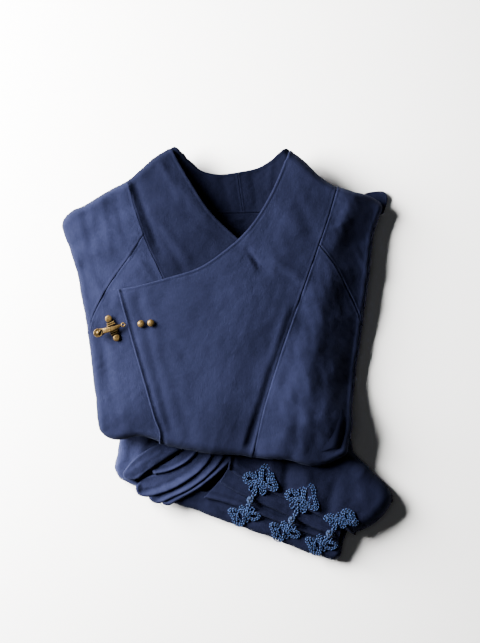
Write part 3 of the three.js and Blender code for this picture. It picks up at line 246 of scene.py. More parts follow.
def brushedWool(name, shade=1.0, pale=1.0, sheen=1.0, nap=1.0):
    finish = Finish(name)
    look = woolLook
    patches = finish.noise(finish.clothMap(), *look["patches"])
    blotches = finish.noise(finish.clothMap(), *look["blotches"])
    streaks = finish.noise(finish.clothMap(look["napTurn"], (1, 0.3, 1)), *look["streaks"])
    fibres = finish.noise(finish.clothMap(look["napTurn"] + 0.5, (1, 0.35, 1)), *look["fibres"])
    brushed = finish.between(patches * 0.5 + blotches * 0.3 + streaks * 0.2, 0.36, 0.64)
    # shade scales the colour, the specular and the sheen; the panel copies below use it as painted light and
    # painted shade
    dark = tuple(value * shade for value in look["deep"])
    middle = tuple(value * shade for value in look["body"])
    light = tuple(value * shade * pale for value in look["pale"])
    colour = finish.blend(brushed, dark, middle)
    lifted = finish.between(streaks * 0.45 + fibres * 0.55, 0.50, 0.76, 0.0, 0.6)
    colour = finish.blend(lifted, colour, light)
    coarse = finish.bump(streaks * 0.5 + blotches * 0.5, 0.5 * nap, 0.0011)
    fine = finish.bump(fibres, 0.65 * nap, 0.0004, coarse)
    rough = finish.between(streaks, 0.3, 0.7, 0.98, 0.8)
    return finish.surface(**{
        "Base Color": colour, "Roughness": rough, "Normal": fine, "Specular IOR Level": 0.045 * shade,
        "Sheen Weight": look["sheen"] * sheen * shade, "Sheen Roughness": 0.45,
        "Sheen Tint": look["sheenTint"],
    })


# one copy of the wool for each panel, lighter or darker by its shade: painted light and painted shade for how
# the lamp falls on it, painted shade on the under panel, the skirt front and inside the collar, painted light
# on the skirt's left side and the right side
wool = brushedWool("brushed wool")
skirtWool = brushedWool("skirt wool", 1.35, 1.1, 1.15)
wrapWool = brushedWool("wool of the wrap panel", 1.0, 0.95, 0.9)
underWool = brushedWool("wool of the under panel", 0.56, 0.92, 0.8)
rightWool = brushedWool("wool of the right side", 1.3, 0.9, 0.8)
sleeveWool = brushedWool("wool of the right sleeve", 1.3, 0.85, 0.6)
sideSkirtWool = brushedWool("skirt side wool", 2.2, 1.15, 1.2)
frontSkirtWool = brushedWool("skirt front wool", 0.76, 0.95, 0.8)
insideWool = brushedWool("wool inside", 0.4, 0.7, 0.25, 0.8)
layerWool = brushedWool("folded wool layers", 0.8, 0.9, 0.8)

# colours of the cord: near-black painted shade in the dips between the plies, the thread's own colour, and a
# painted highlight along the ply tops
cordLook = {
    "groove": (0.0003, 0.0006, 0.0026),
    "thread": (0.0120, 0.0270, 0.085),
    "paintedHighlight": (0.080, 0.150, 0.350),
}


def twistedCord(name, shade):
    finish = Finish(name)
    spot = finish.node("ShaderNodeUVMap", {"uv_map": "cloth"})
    parts = finish.node("ShaderNodeSeparateXYZ", {}, {0: spot})
    down = Wire(finish, parts.socket.node.outputs[1])
    fullTurn = 2 * math.pi
    strands = finish.node("ShaderNodeMath", {"operation": "COSINE"}, {0: (parts - down) * fullTurn})
    slant = (parts * 7 + down * 3) * (fullTurn * 2)
    threads = finish.node("ShaderNodeMath", {"operation": "SINE"}, {0: slant})
    fuzz = finish.noise(spot, 9, 3, 0.6)
    # the dips between the plies get painted shade, and streaks of painted highlight run along the ply tops
    ridge = finish.between(strands, -0.35, 0.9)
    groove, thread, paintedHighlight = (tuple(value * shade for value in colour) for colour in cordLook.values())
    colour = finish.blend(ridge, groove, thread)
    colour = finish.blend(finish.between(threads * 0.35 + fuzz, 0.45, 0.95, 0.0, 0.8) * ridge, colour, paintedHighlight)
    relief = finish.bump(threads * 0.5 + fuzz, 0.6, 0.0003)
    return finish.surface(**{
        "Base Color": colour, "Roughness": finish.between(fuzz, 0.2, 0.8, 0.5, 0.75), "Normal": relief,
        "Sheen Weight": 0.02, "Specular IOR Level": 0.07,
    })


cordFinish = twistedCord("silk cord", 1.0)
knotFinish = twistedCord("silk cord of the knots", 0.42)

brassLook = {
    "bright": (0.044, 0.0265, 0.0082),
    "worn": (0.082, 0.054, 0.0205),
    "brown": (0.013, 0.0078, 0.003),
    # near black: the painted shade of the recesses
    "dark": (0.0006, 0.0005, 0.0006),
}


def agedBrass():
    # the UV map marks the recesses, the hollows and the plate under the lever, where painted shade turns the
    # brass near black, broken up by noise
    finish = Finish("aged brass")
    spot = finish.node("ShaderNodeTexCoord", {}, {}, output=3)
    mark = finish.node("ShaderNodeSeparateXYZ", {}, {0: finish.node("ShaderNodeUVMap", {"uv_map": "age"})})
    cloudy = finish.noise(spot, 420, 4, 0.6)
    grain = finish.noise(spot, 2600, 3, 0.6)
    worn = finish.between(cloudy, 0.42, 0.66)
    shadedRecess = finish.between(mark + cloudy * 0.5 - grain * 0.2, 0.32, 0.72)
    colour = finish.blend(worn, brassLook["bright"], brassLook["worn"])
    browned = finish.between(cloudy * 0.6 + grain * 0.4, 0.30, 0.46, 0.75, 0.0)
    colour = finish.blend(browned, colour, brassLook["brown"])
    colour = finish.blend(shadedRecess, colour, brassLook["dark"])
    return finish.surface(**{
        "Base Color": colour, "Metallic": finish.between(shadedRecess, 0.0, 1.0, 0.62, 0.3),
        "Roughness": finish.between(grain + mark * 0.3, 0.3, 0.9, 0.30, 0.60), "Specular IOR Level": 0.06,
        "Normal": finish.bump(cloudy + grain, 0.5, 0.0003),
    })


brassFinish = agedBrass()
print("finishes made")


# plan geometry

def rows(*pairs):
    return np.array(pairs, float)


def ease(low, high, value):
    # a smooth step from 0 at low to 1 at high
    part = np.clip((value - low) / (high - low), 0, 1)
    return part * part * (3 - 2 * part)


def lengthOf(path):
    return np.hypot(*np.diff(path, axis=0).T).sum()


def signedArea(loop):
    x, y = loop.T
    return (x * np.roll(y, -1) - y * np.roll(x, -1)).sum() / 2


def evenly(path, steps):
    # the same open path with evenly spaced points
    legs = np.hypot(*np.diff(path, axis=0).T)
    run = np.concatenate([[0], np.cumsum(legs)])
    goal = np.linspace(0, run[-1], steps + 1)
    return np.stack([np.interp(goal, run, path[:, 0]), np.interp(goal, run, path[:, 1])], axis=1)


def evenLoop(loop, count):
    return evenly(np.vstack([loop, loop[:1]]), count)[:-1]


def softened(loop, times):
    for _ in range(times):
        loop = (2 * loop + np.roll(loop, 1, axis=0) + np.roll(loop, -1, axis=0)) / 4
    return loop


def spline(points, steps, fine=60):
    # a centripetal curve through the points, with evenly spaced results
    points = np.asarray(points, float)
    padded = np.vstack([2 * points[0] - points[1], points, 2 * points[-1] - points[-2]])
    result = []
    for a, b, c, d in zip(padded[:-3], padded[1:-2], padded[2:-1], padded[3:]):
        first, middle, last = (max(np.hypot(*(q - p)), 1e-9) ** 0.5 for p, q in ((a, b), (b, c), (c, d)))
        leave = ((b - a) / first - (c - a) / (first + middle) + (c - b) / middle) * middle
        arrive = ((c - b) / middle - (d - b) / (middle + last) + (d - c) / last) * middle
        t = np.linspace(0, 1, fine, endpoint=False)[:, None]
        result.append(b + leave * t + (3 * (c - b) - 2 * leave - arrive) * t ** 2
                      + (2 * (b - c) + leave + arrive) * t ** 3)
    return evenly(np.vstack([*result, points[-1:]]), steps)


def joined(*paths):
    return np.vstack([path if i == 0 else path[1:] for i, path in enumerate(paths)])


def loopOf(path, spacing, softening):
    length = lengthOf(np.vstack([path, path[:1]]))
    return softened(evenLoop(path, round(length / spacing)), softening)


def outward(loop):
    # the unit normals of a counterclockwise loop
    run = np.roll(loop, -1, axis=0) - np.roll(loop, 1, axis=0)
    normal = np.stack([run[:, 1], -run[:, 0]], axis=1)
    return normal / np.hypot(*normal.T)[:, None]


def nearestOn(path, points, closed=True, batch=3000):
    # distance, nearest spot and position along the path, for many points at once
    start = path if closed else path[:-1]
    leg = (np.roll(path, -1, axis=0) if closed else path[1:])[:len(start)] - start
    square = np.maximum((leg ** 2).sum(1), 1e-12)
    points = np.atleast_2d(points)
    distance, spot, index = np.empty(len(points)), np.empty((len(points), 2)), np.empty(len(points))
    for low in range(0, len(points), batch):
        part = points[low:low + batch]
        offset = part[:, None] - start[None]
        share = np.clip((offset * leg).sum(2) / square, 0, 1)
        apart = ((offset - share[..., None] * leg) ** 2).sum(2)
        best = apart.argmin(1)
        row = np.arange(len(part))
        distance[low:low + batch] = np.sqrt(apart[row, best])
        spot[low:low + batch] = start[best] + share[row, best, None] * leg[best]
        index[low:low + batch] = best + share[row, best]
    return distance, spot, index


def isInside(loop, points):
    # true where a level ray from the point crosses the loop an odd number of times
    points = np.atleast_2d(points)
    inside = np.zeros(len(points), bool)
    x, y = points.T
    for a, b in zip(loop, np.roll(loop, 1, axis=0)):
        if a[1] != b[1]:
            crosses = ((a[1] > y) != (b[1] > y)) & (x < (b[0] - a[0]) * (y - a[1]) / (b[1] - a[1]) + a[0])
            inside ^= crosses
    return inside


def offsetLoop(loop, distance, fanStep=0.25, keptShare=0.985):
    # a parallel loop: corners that open are fanned, and points that come too near are dropped
    normals = outward(loop)
    following = np.roll(normals, -1, axis=0)
    raw = []
    for point, normal, after in zip(loop, normals, following):
        angle = math.atan2(normal[0] * after[1] - normal[1] * after[0], normal @ after)
        fans = max(1, math.ceil(abs(angle) / fanStep))
        for fan in range(fans):
            turn = angle * fan / fans
            c, s = math.cos(turn), math.sin(turn)
            ray = np.array([c * normal[0] - s * normal[1], s * normal[0] + c * normal[1]])
            raw.append(point + distance * ray)
    raw = np.array(raw)
    return raw[nearestOn(loop, raw)[0] > abs(distance) * keptShare]


def foldHeight(folds, points, fade=1.6):
    # soft straight folds, each with its ends, its width and its height
    height = np.zeros(len(points))
    for x0, y0, x1, y1, wide, high in folds:
        start, run = np.array([x0, y0]), np.array([x1 - x0, y1 - y0])
        length = np.hypot(*run)
        offset = points - start
        forward = offset @ run / length
        across = (offset[:, 0] * run[1] - offset[:, 1] * run[0]) / length
        beyond = np.maximum(0, np.maximum(-forward, forward - length))
        height += high * np.exp(-((beyond / (wide * fade)) ** 2) - (across / wide) ** 2)
    return height


def rumple(points, size, high, seed, waves=22):
    # an uneven soft swell: many small waves in all directions
    chance = np.random.default_rng(seed)
    height = np.zeros(len(points))
    for _ in range(waves):
        angle, phase = chance.uniform(0, 2 * math.pi, 2)
        length = size * chance.uniform(0.7, 1.8)
        height += np.sin((points @ [math.cos(angle), math.sin(angle)]) * 2 * math.pi / length + phase)
    return height * high / math.sqrt(waves / 2)


def level(height):
    # the same height everywhere
    return lambda points: np.full(len(points), float(height))


def crownAt(packet, inside):
    # how far a stuffed packet rises, by the distance from its fold line
    return packet["crown"] * (1 - np.exp(-((inside / packet["crownReach"]) ** 2)))


class Rest:
    # an open surface that carries cloth
    def __init__(self, heightAt):
        self.heightAt = heightAt

    def base(self, points):
        return np.column_stack([points, self.heightAt(points)])


class Packet:
    # a low pillow: cloth past its fold line turns down round its edge
    def __init__(self, outline, roll, heightAt):
        self.roll = roll
        self.foldLine = offsetLoop(outline, -roll)
        self.heightAt = heightAt

    def rim(self, turn):
        # the line that lies this far round the turned edge, as an angle
        return offsetLoop(self.foldLine, self.roll * turn)

    def base(self, points):
        # where each point of the flat plan comes to lie
        points = np.atleast_2d(points)
        distance, spot, _ = nearestOn(self.foldLine, points)
        inside = isInside(self.foldLine, points)
        angle = distance / self.roll
        reach = np.where(distance > 1e-6, self.roll * np.sin(angle) / np.maximum(distance, 1e-9), 1)
        flat = np.where(inside[:, None], points, spot + (points - spot) * reach[:, None])
        height = self.heightAt(np.where(inside[:, None], points, spot), np.where(inside, distance, 0))
        height = np.where(inside, height, height - self.roll * (1 - np.cos(angle)))
        return np.column_stack([flat, height])


def rimBetween(rim, start, end, steps):
    # the shorter way along a closed rim
    first = nearestOn(rim, start)[2][0]
    last = nearestOn(rim, end)[2][0]
    count = len(rim)
    forward = (last - first + count) % count
    span = forward if forward <= count / 2 else forward - count
    places = (first + span * np.linspace(0, 1, max(steps * 4, 8) + 1)) % count
    closed = np.vstack([rim, rim[:1]])
    number = np.arange(count + 1)
    path = np.stack([np.interp(places, number, closed[:, k]) for k in range(2)], axis=1)
    return evenly(path, steps)


def onPath(path, point):
    # the spot of a closed path that is nearest
    return nearestOn(path, point)[1][0]


# cloth pieces

clothSize = {"wall": 2.3, "layer": 3.6, "press": 1.6, "seamGap": 0.15, "rounding": 0.45, "cell": 2.4,
             "fine": 8}
# distances from a worked edge of the rows of cells that carry its turn
edgeRows = [0, 0.7, 1.4, 2.2, 3.1, 4.2, 5.5, 7.0, 8.8]
# each kind of edge: radius of its turn, how far it drops, ridge and trough beside it
edgeKinds = {
    "turned": {"radius": 2.0, "drop": 1.5, "ridge": (1.9, 1.2, 0.75), "trough": (6.4, 2.9, -1.15)},
    "seam": {"radius": 1.3, "drop": 0.9, "ridge": (2.3, 1.1, 0.16), "trough": (4.6, 1.8, -0.12)},
    "neckline": {"radius": 1.6, "drop": 1.2, "ridge": (2.6, 1.2, 0.2), "trough": (4.8, 1.3, -0.2)},
    "fold": {"radius": 1.8, "drop": 1.3, "ridge": (2.4, 1.5, 1.4), "trough": (7.4, 2.6, -1.4)},
    "collar": {"radius": 2.2, "drop": 2.0, "ridge": (3.2, 1.4, 0.3), "trough": (6.0, 1.5, -0.25)},
    "pressed": {"radius": 0.9, "drop": 0.6, "ridge": (1.9, 0.9, 0.25), "trough": (4.2, 1.6, -0.2)},
}


def graded(length, cell, fineStart, fineEnd):
    # places of the cells' borders along a piece, closer together at a worked edge
    roomy = length > 30
    start = edgeRows if fineStart and roomy else [0]
    end = edgeRows if fineEnd and roomy else [0]
    low, high = start[-1], length - end[-1]
    middle = np.linspace(low, high, max(2, round((high - low) / cell) + 1))
    return np.concatenate([start[:-1], middle, length - np.array(end[:-1])[::-1]]) / length


def along(path, part):
    # points of a path at shares of its length
    index = part * (len(path) - 1)
    return np.stack([np.interp(index, np.arange(len(path)), path[:, k]) for k in range(2)], axis=-1)


def patch(near, far, left, right, kinds, cell):
    # the plan of a piece as a grid of cells ruled between its four borders
    us = graded((lengthOf(near) + lengthOf(far)) / 2, cell, "left" in kinds, "right" in kinds)
    vs = graded((lengthOf(left) + lengthOf(right)) / 2, cell, "near" in kinds, "far" in kinds)
    u, v = us[:, None, None], vs[None, :, None]
    ruled = (1 - v) * along(near, us)[:, None] + v * along(far, us)[:, None]
    ruled = ruled + (1 - u) * along(left, vs)[None] + u * along(right, vs)[None]
    corners = (1 - u) * (1 - v) * near[0] + u * (1 - v) * near[-1] + (1 - u) * v * far[0] + u * v * far[-1]
    grid = ruled - corners
    for edge, inner in ((grid[0], grid[1]), (grid[-1], grid[-2]),
                        (grid[:, 0], grid[:, 1]), (grid[:, -1], grid[:, -2])):
        inward = inner - edge
        stride = np.maximum(np.hypot(inward[..., 0], inward[..., 1]), 1e-6)
        edge += inward / stride[..., None] * clothSize["seamGap"]
    if np.cross(grid[-1, 0] - grid[0, 0], grid[0, -1] - grid[0, 0]) < 0:
        grid = grid[::-1]
    return grid


def edgeShape(points, borders, kinds):
    # what the worked edges add to the height
    height = np.zeros(len(points))
    for side, kind in kinds.items():
        shape = edgeKinds[kind]
        distance = nearestOn(borders[side], points, closed=False)[0]
        turn = np.clip(1 - distance / shape["radius"], 0, 1)
        height -= shape["drop"] * (1 - np.sqrt(np.maximum(1 - turn ** 2, 0)))
        for place, wide, high in (shape["ridge"], shape["trough"]):
            height += high * np.exp(-(((distance - place) / wide) ** 2))
    return height


def normalsOf(grid):
    alongU = np.gradient(grid, axis=0)
    alongV = np.gradient(grid, axis=1)
    normal = np.cross(alongU, alongV)
    return normal / np.maximum(np.linalg.norm(normal, axis=2), 1e-9)[..., None]


def cutOf(plan):
    # the flat cut: the smallest box that holds it, and its area
    border = np.vstack([plan[:, 0], plan[-1], plan[::-1, -1], plan[0, ::-1]])
    best = None
    for angle in np.radians(np.arange(0, 90, 3)):
        turned = border @ np.array([[math.cos(angle), -math.sin(angle)], [math.sin(angle), math.cos(angle)]])
        size = turned.max(0) - turned.min(0)
        if best is None or size.prod() < best.prod():
            best = size
    return tuple(best / 1000), min(abs(signedArea(border)), best.prod()) / 1e6


def gridMesh(name, spots, plan):
    # a sheet through the spots, its map named cloth the flat cut in metres
    count, up = spots.shape[:2]
    form = bmesh.new()
    bmesh.ops.create_grid(form, x_segments=count - 1, y_segments=up - 1, size=0.5)
    mesh = meshOf(form, name)
    corners = np.empty(len(mesh.vertices) * 3)
    mesh.vertices.foreach_get("co", corners)
    corners = corners.reshape(-1, 3)
    i = np.rint((corners[:, 0] + 0.5) * (count - 1)).astype(int)
    j = np.rint((corners[:, 1] + 0.5) * (up - 1)).astype(int)
    mesh.vertices.foreach_set("co", ((spots[i, j] + planShift) / 1000).ravel())
    vertex = np.empty(len(mesh.loops), int)
    mesh.loops.foreach_get("vertex_index", vertex)
    layer = mesh.uv_layers.new(name="cloth")
    layer.data.foreach_set("uv", (plan[i, j] / 1000)[vertex].ravel())
    mesh.update()
    return mesh


def addPiece(name, ending, mesh, material, slot):
    # a finished piece that is seen in place of the solid
    mesh.shade_smooth()
    mesh.materials.append(material)
    item = bpy.data.objects.new(name + ending, mesh)
    bpy.context.collection.objects.link(item)
    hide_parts(name)
    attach(item, "root")
    return item


def addCloth(name, spots, plan, material, slot, wall, restsOn):
    item = addPiece(name, "_cloth", gridMesh(name + "_cloth", spots, plan), material, slot)
    shell = item.modifiers.new("wall", "SOLIDIFY")
    shell.thickness = wall / 1000
    shell.offset = -1
    rounding = item.modifiers.new("edge", "BEVEL")
    rounding.width = clothSize["rounding"] / 1000
    rounding.segments = 2
    rounding.limit_method = "ANGLE"
    rounding.angle_limit = math.radians(60)
    rounding.use_clamp_overlap = False
    flat, area = cutOf(plan)
    print(name, "laid, cut", [round(value, 3) for value in flat])


def layCloth(piece, packet, liftAt):
    # one sheet of cloth laid on a packet, with its edges, folds and rumples
    kinds = piece.get("kinds", {})
    borders = {key: piece[key] for key in ("near", "far", "left", "right")}
    plan = patch(**borders, kinds=kinds, cell=piece.get("cell", clothSize["cell"]))
    points = plan.reshape(-1, 2)
    base = packet.base(points).reshape(*plan.shape[:2], 3)
    lift = liftAt(points) + edgeShape(points, borders, kinds) + foldHeight(piece.get("folds", []), points)
    for size, high, seed in piece.get("rumples", []):
        lift = lift + rumple(points, size, high, seed)
    lift = lift.reshape(plan.shape[:2])
    spots = base + normalsOf(base) * lift[..., None]
    wall = piece.get("wall", clothSize["wall"])
    addCloth(piece["name"], spots, plan, piece["material"], piece["slot"], wall, piece["restsOn"])


# jacket

jacket = {
    "roll": 9, "turn": 2.6, "crown": 8, "crownReach": 55,
    "rim": 40, "hemLift": 10, "hemFrom": 0, "hemTo": -100,
    "leftSide": rows((-236, 187), (-214, 125), (-203, 70), (-193, 0), (-184, -70), (-180, -104)),
    "leftShoulder": rows((-141, 244), (-164, 233), (-196, 212), (-220, 201), (-236, 187)),
    "leftSlope": rows((-76, 293.5), (-104, 276.5), (-141, 244)),
    "rightSlope": rows((81, 288), (105, 269), (130, 249), (153, 236)),
    "rightShoulder": rows((153, 236), (178, 229), (196, 226), (220, 212)),
    "rightSide": rows((220, 212), (204, 167), (199, 120), (189, 40), (178, -36), (174, -92), (168, -138)),
    "hem": rows((168, -138), (150, -147), (122, -155), (80, -146), (34, -141), (-30, -132), (-81, -123),
                (-120, -113), (-162, -117), (-180, -104)),
    "beyondNeck": rows((81, 288), (66, 304), (-60, 306), (-76, 293.5)),
    "seamLeftUpper": rows((-141, 244), (-129, 202), (-118, 169)),
    "seamLeftLower": rows((-118, 169), (-106, 141), (-90, 107)),
    "seamLeftHidden": rows((-90, 107), (-76, 80)),
    "raglanLeft": rows((-118, 169), (-137, 139), (-165, 100), (-186, 62), (-199, 30)),
    "seamRightUpper": rows((153, 236), (141, 196), (127, 155)),
    "seamRightLower": rows((127, 155), (101, 82), (74, 6), (52, -64), (41, -109), (34, -141)),
    "raglanRight": rows((127, 155), (147, 130), (168, 93), (184, 58), (190, 42)),
    "wrapNeck": rows((-154, 93), (-130, 97), (-81, 110), (-39, 124), (0, 151), (31, 181), (56, 220),
                     (72, 254), (80.2, 274.5), (85.5, 286)),
    "wrapEdge": rows((-154, 93), (-140, 41), (-120, -29), (-104, -85), (-96, -109)),
    "underNeck": rows((-77.5, 287), (-69.5, 272), (-50.5, 240), (-25, 202), (14, 164), (42, 142)),
    "collarTop": rows((-90, 266), (-85.5, 284), (-76, 293.5), (-67.5, 288), (-58, 276.8), (-38, 260),
                      (-14, 254.5), (13, 257.3), (42, 263.8), (60, 274.5), (71, 284.3), (82, 291),
                      (90.5, 283), (96, 266)),
    # soft troughs and ridges: x0, y0, x1, y1, width, height
    "folds": [
        (-130, 240, -96, 150, 11, -2.2), (-90, 262, -34, 196, 9, 1.8), (18, 148, 48, 122, 8, -2.0),
        (64, 134, 100, 112, 9, 1.6), (-124, 78, -80, -100, 7, -1.5), (60, -20, 30, -120, 8, -1.8),
        (164, 206, 150, 160, 10, 1.0), (142, 60, 120, -120, 13, -1.6), (158, 20, 150, -40, 11, 1.0),
        (-205, 176, -180, 92, 11, 1.2), (-172, 6, -150, -90, 9, -1.4), (184, 26, 172, -92, 16, -4.4),
        (122, -180, 206, -50, 32, -12.5),
    ],
}
fine = clothSize["fine"]
jacketOutline = loopOf(joined(
    spline(jacket["leftSide"], 24), spline(jacket["hem"], 24)[::-1], spline(jacket["rightSide"], 24)[::-1],
    spline(jacket["rightShoulder"], 24)[::-1], spline(jacket["rightSlope"], 24)[::-1],
    spline(jacket["beyondNeck"], 24), spline(jacket["leftSlope"], 24), spline(jacket["leftShoulder"], 24),
)[:-1], 4, 2)


# the two sides slope down to the table; the slope fades out towards the hem
slope = {"left": 6, "leftReach": 25, "right": 19, "rightReach": 38, "fadeFrom": -35, "fadeTo": -95}
sideLines = {"left": spline(jacket["leftSide"], 24), "right": spline(jacket["rightSide"], 24)}


def rimHeight(points):
    # height of the folded edge: lower at the sides, lifted by the skirt at the hem
    fall = 0
    for side, line in sideLines.items():
        away = nearestOn(line, points, closed=False)[0] / slope[side + "Reach"]
        fall = fall + slope[side] * np.exp(-(away ** 2))
    y = points[:, 1]
    lift = jacket["hemLift"] * ease(jacket["hemFrom"], jacket["hemTo"], y)
    return jacket["rim"] + lift - fall * (1 - ease(slope["fadeFrom"], slope["fadeTo"], y))


def jacketHeight(points, inside):
    return rimHeight(points) + crownAt(jacket, inside) + foldHeight(jacket["folds"], points)


jacketPacket = Packet(jacketOutline, jacket["roll"], jacketHeight)
jacketRim = jacketPacket.rim(jacket["turn"])
leftTop = onPath(jacketRim, jacket["leftSlope"][2])
rightTop = onPath(jacketRim, jacket["rightSlope"][3])
leftSeamUpper = spline([leftTop, *jacket["seamLeftUpper"]], 6 * fine)
leftSeamLower = spline(jacket["seamLeftLower"], 4 * fine)
leftSeamHidden = spline(jacket["seamLeftHidden"], 2 * fine)
leftRaglan = spline([*jacket["raglanLeft"], onPath(jacketRim, jacket["raglanLeft"][4])], 10 * fine)
rightSeamUpper = spline([rightTop, *jacket["seamRightUpper"]], 6 * fine)
rightHemSeam = onPath(jacketRim, jacket["seamRightLower"][5])
rightSeamLower = spline([*jacket["seamRightLower"], rightHemSeam], 15 * fine)
rightRaglan = spline([*jacket["raglanRight"], onPath(jacketRim, jacket["raglanRight"][4])], 10 * fine)
princess = joined(rightSeamUpper, rightSeamLower)


def wrapLift(points):
    # the wrap lies one layer up, away from the seam that joins it to the side front
    return clothSize["layer"] * ease(8, 62, nearestOn(princess, points, closed=False)[0])


flatLift = level(0)
wrapCorner = onPath(jacketRim, (-94, -121))
wrapLeft = spline([*jacket["wrapEdge"], wrapCorner], 21 * fine)[::-1]
rightPeak = onPath(jacketRim, (97, 294))
wrapTop = joined(spline([*jacket["wrapNeck"], rightPeak], 13 * fine),
                 rimBetween(jacketRim, rightPeak, rightTop, 5 * fine))
wrapOutline = joined(wrapLeft, wrapTop, princess)


def pressed(points):
    # what lies under the wrap is pressed down by it
    depth = clothSize["press"] * ease(0, 9, nearestOn(wrapOutline, points)[0])
    return np.where(isInside(wrapOutline, points), -depth, 0)


jacketCloth = {"material": wool, "slot": "wool", "restsOn": "body_core"}
layCloth({
    **jacketCloth, "material": wrapWool, "name": "front_wrap", "left": wrapLeft, "right": princess[::-1],
    "near": rimBetween(jacketRim, wrapCorner, princess[-1], 18 * fine), "far": wrapTop,
    "kinds": {"left": "turned", "right": "seam", "far": "neckline"},
    "rumples": [(60, 0.35, 3), (17, 0.10, 4), (7, 0.045, 5)],
    "folds": [
        (28, 148, 40, 130, 4.0, -1.0), (40, 131, 57, 122, 3.8, -0.9), (26, 140, 35, 124, 3.6, 0.7),
        (66, 130, 94, 114, 4.5, 1.3), (70, 118, 92, 104, 4.0, -1.2), (-92, 20, -54, -108, 9, -1.0),
        (-128, 52, -86, 30, 9, -1.3), (-88, 34, -60, 0, 9, -0.9), (-60, 96, 20, 60, 16, 0.9),
        (-40, 40, 40, -40, 22, -0.8), (-20, -60, 20, -130, 14, 0.9), (48, 40, 66, 60, 8, 0.7),
        (92, 60, 30, -120, 5.5, -1.3), (80, 60, 22, -118, 5, 0.8), (104, 200, 118, 168, 8, -1.0),
        (70, 210, 96, 176, 10, 0.8), (-70, 98, -20, 92, 8, -0.7), (-112, 88, -104, 60, 7, 0.8),
    ],
}, jacketPacket, wrapLift)

leftPeak = onPath(jacketRim, (-91, 299))
underLeft = joined(leftSeamUpper, leftSeamLower, leftSeamHidden)[::-1]
underRight = spline([leftPeak, *jacket["underNeck"]], 12 * fine)[::-1]
layCloth({
    **jacketCloth, "material": underWool, "name": "front_under", "left": underLeft, "right": underRight,
    "near": evenly(np.array([underLeft[0], underRight[0]]), 9 * fine),
    "far": rimBetween(jacketRim, leftTop, leftPeak, 9 * fine),
    "kinds": {"left": "seam", "right": "neckline"}, "rumples": [(50, 0.35, 6), (16, 0.10, 7), (7, 0.045, 8)],
    "folds": [
        (-130, 236, -101, 160, 5, -2.0), (-92, 266, -66, 214, 5, 1.0), (-80, 232, -40, 180, 7, -0.9),
        (-108, 196, -60, 140, 7, 1.2), (-96, 176, -64, 122, 6, -1.4), (-40, 176, -10, 150, 6, 0.8),
    ],
}, jacketPacket, pressed)

leftElbow = onPath(jacketRim, (-236, 187))
layCloth({
    **jacketCloth, "name": "sleeve_left", "near": leftRaglan[::-1],
    "far": rimBetween(jacketRim, leftElbow, leftTop, 10 * fine),
    "left": rimBetween(jacketRim, leftRaglan[-1], leftElbow, 6 * fine),
    "right": leftSeamUpper[::-1] + [0.8, 0],  # a little overlap closes the seam
    "kinds": {"near": "seam", "right": "seam"}, "rumples": [(42, 0.5, 9), (15, 0.12, 10), (7, 0.045, 11)],
    "folds": [
        (-200, 196, -186, 120, 7, -1.2), (-176, 212, -164, 150, 7, 1.1), (-156, 214, -140, 160, 6, -0.8),
        (-222, 184, -206, 140, 5, 0.8), (-188, 110, -176, 84, 6, 0.8),
    ],
}, jacketPacket, flatLift)

rightElbow = onPath(jacketRim, (220, 212))
layCloth({
    **jacketCloth, "material": sleeveWool, "name": "sleeve_right", "near": rightRaglan,
    "far": rimBetween(jacketRim, rightTop, rightElbow, 10 * fine), "left": rightSeamUpper[::-1],
    "right": rimBetween(jacketRim, rightRaglan[-1], rightElbow, 6 * fine),
    "kinds": {"near": "seam", "left": "seam"}, "rumples": [(40, 0.5, 12), (15, 0.12, 13), (7, 0.045, 14)],
    "folds": [
        (176, 220, 166, 196, 8, 0.9), (156, 200, 150, 176, 7, -0.6), (176, 206, 160, 180, 9, 0.6),
        (176, 150, 200, 158, 5, 1.0), (184, 140, 196, 118, 5, 0.9), (172, 176, 160, 136, 12, -0.7),
    ],
}, jacketPacket, flatLift)

leftHem = onPath(jacketRim, (-179, -113))
sideLeftInner = joined(leftSeamLower, spline([
    (-90, 107), (-112, 30), (-100, -29), (-86, -85), (-78, -109), onPath(jacketRim, (-74, -122)),
], 14 * fine))
layCloth({
    **jacketCloth, "name": "side_front_left", "far": leftRaglan,
    "near": rimBetween(jacketRim, sideLeftInner[-1], leftHem, 10 * fine), "left": sideLeftInner[::-1],
    "right": rimBetween(jacketRim, leftHem, leftRaglan[-1], 18 * fine),
    "kinds": {"far": "seam"}, "rumples": [(46, 0.55, 15), (15, 0.12, 16), (7, 0.045, 17)],
    "folds": [
        (-96, 150, -84, 112, 5, 1.0), (-112, 148, -98, 108, 5, -0.8), (-150, 92, -166, 50, 7, 0.9),
        (-94, 20, -58, -106, 5, 1.1), (-176, 30, -168, -40, 7, -0.9), (-160, -10, -150, -80, 8, 0.8),
        (-134, 60, -128, 10, 6, -0.7), (-168, 78, -156, 30, 9, -1.1), (-188, 44, -180, -30, 6, 0.6),
        (-120, 128, -104, 106, 5, 0.9),
    ],
}, jacketPacket, pressed)

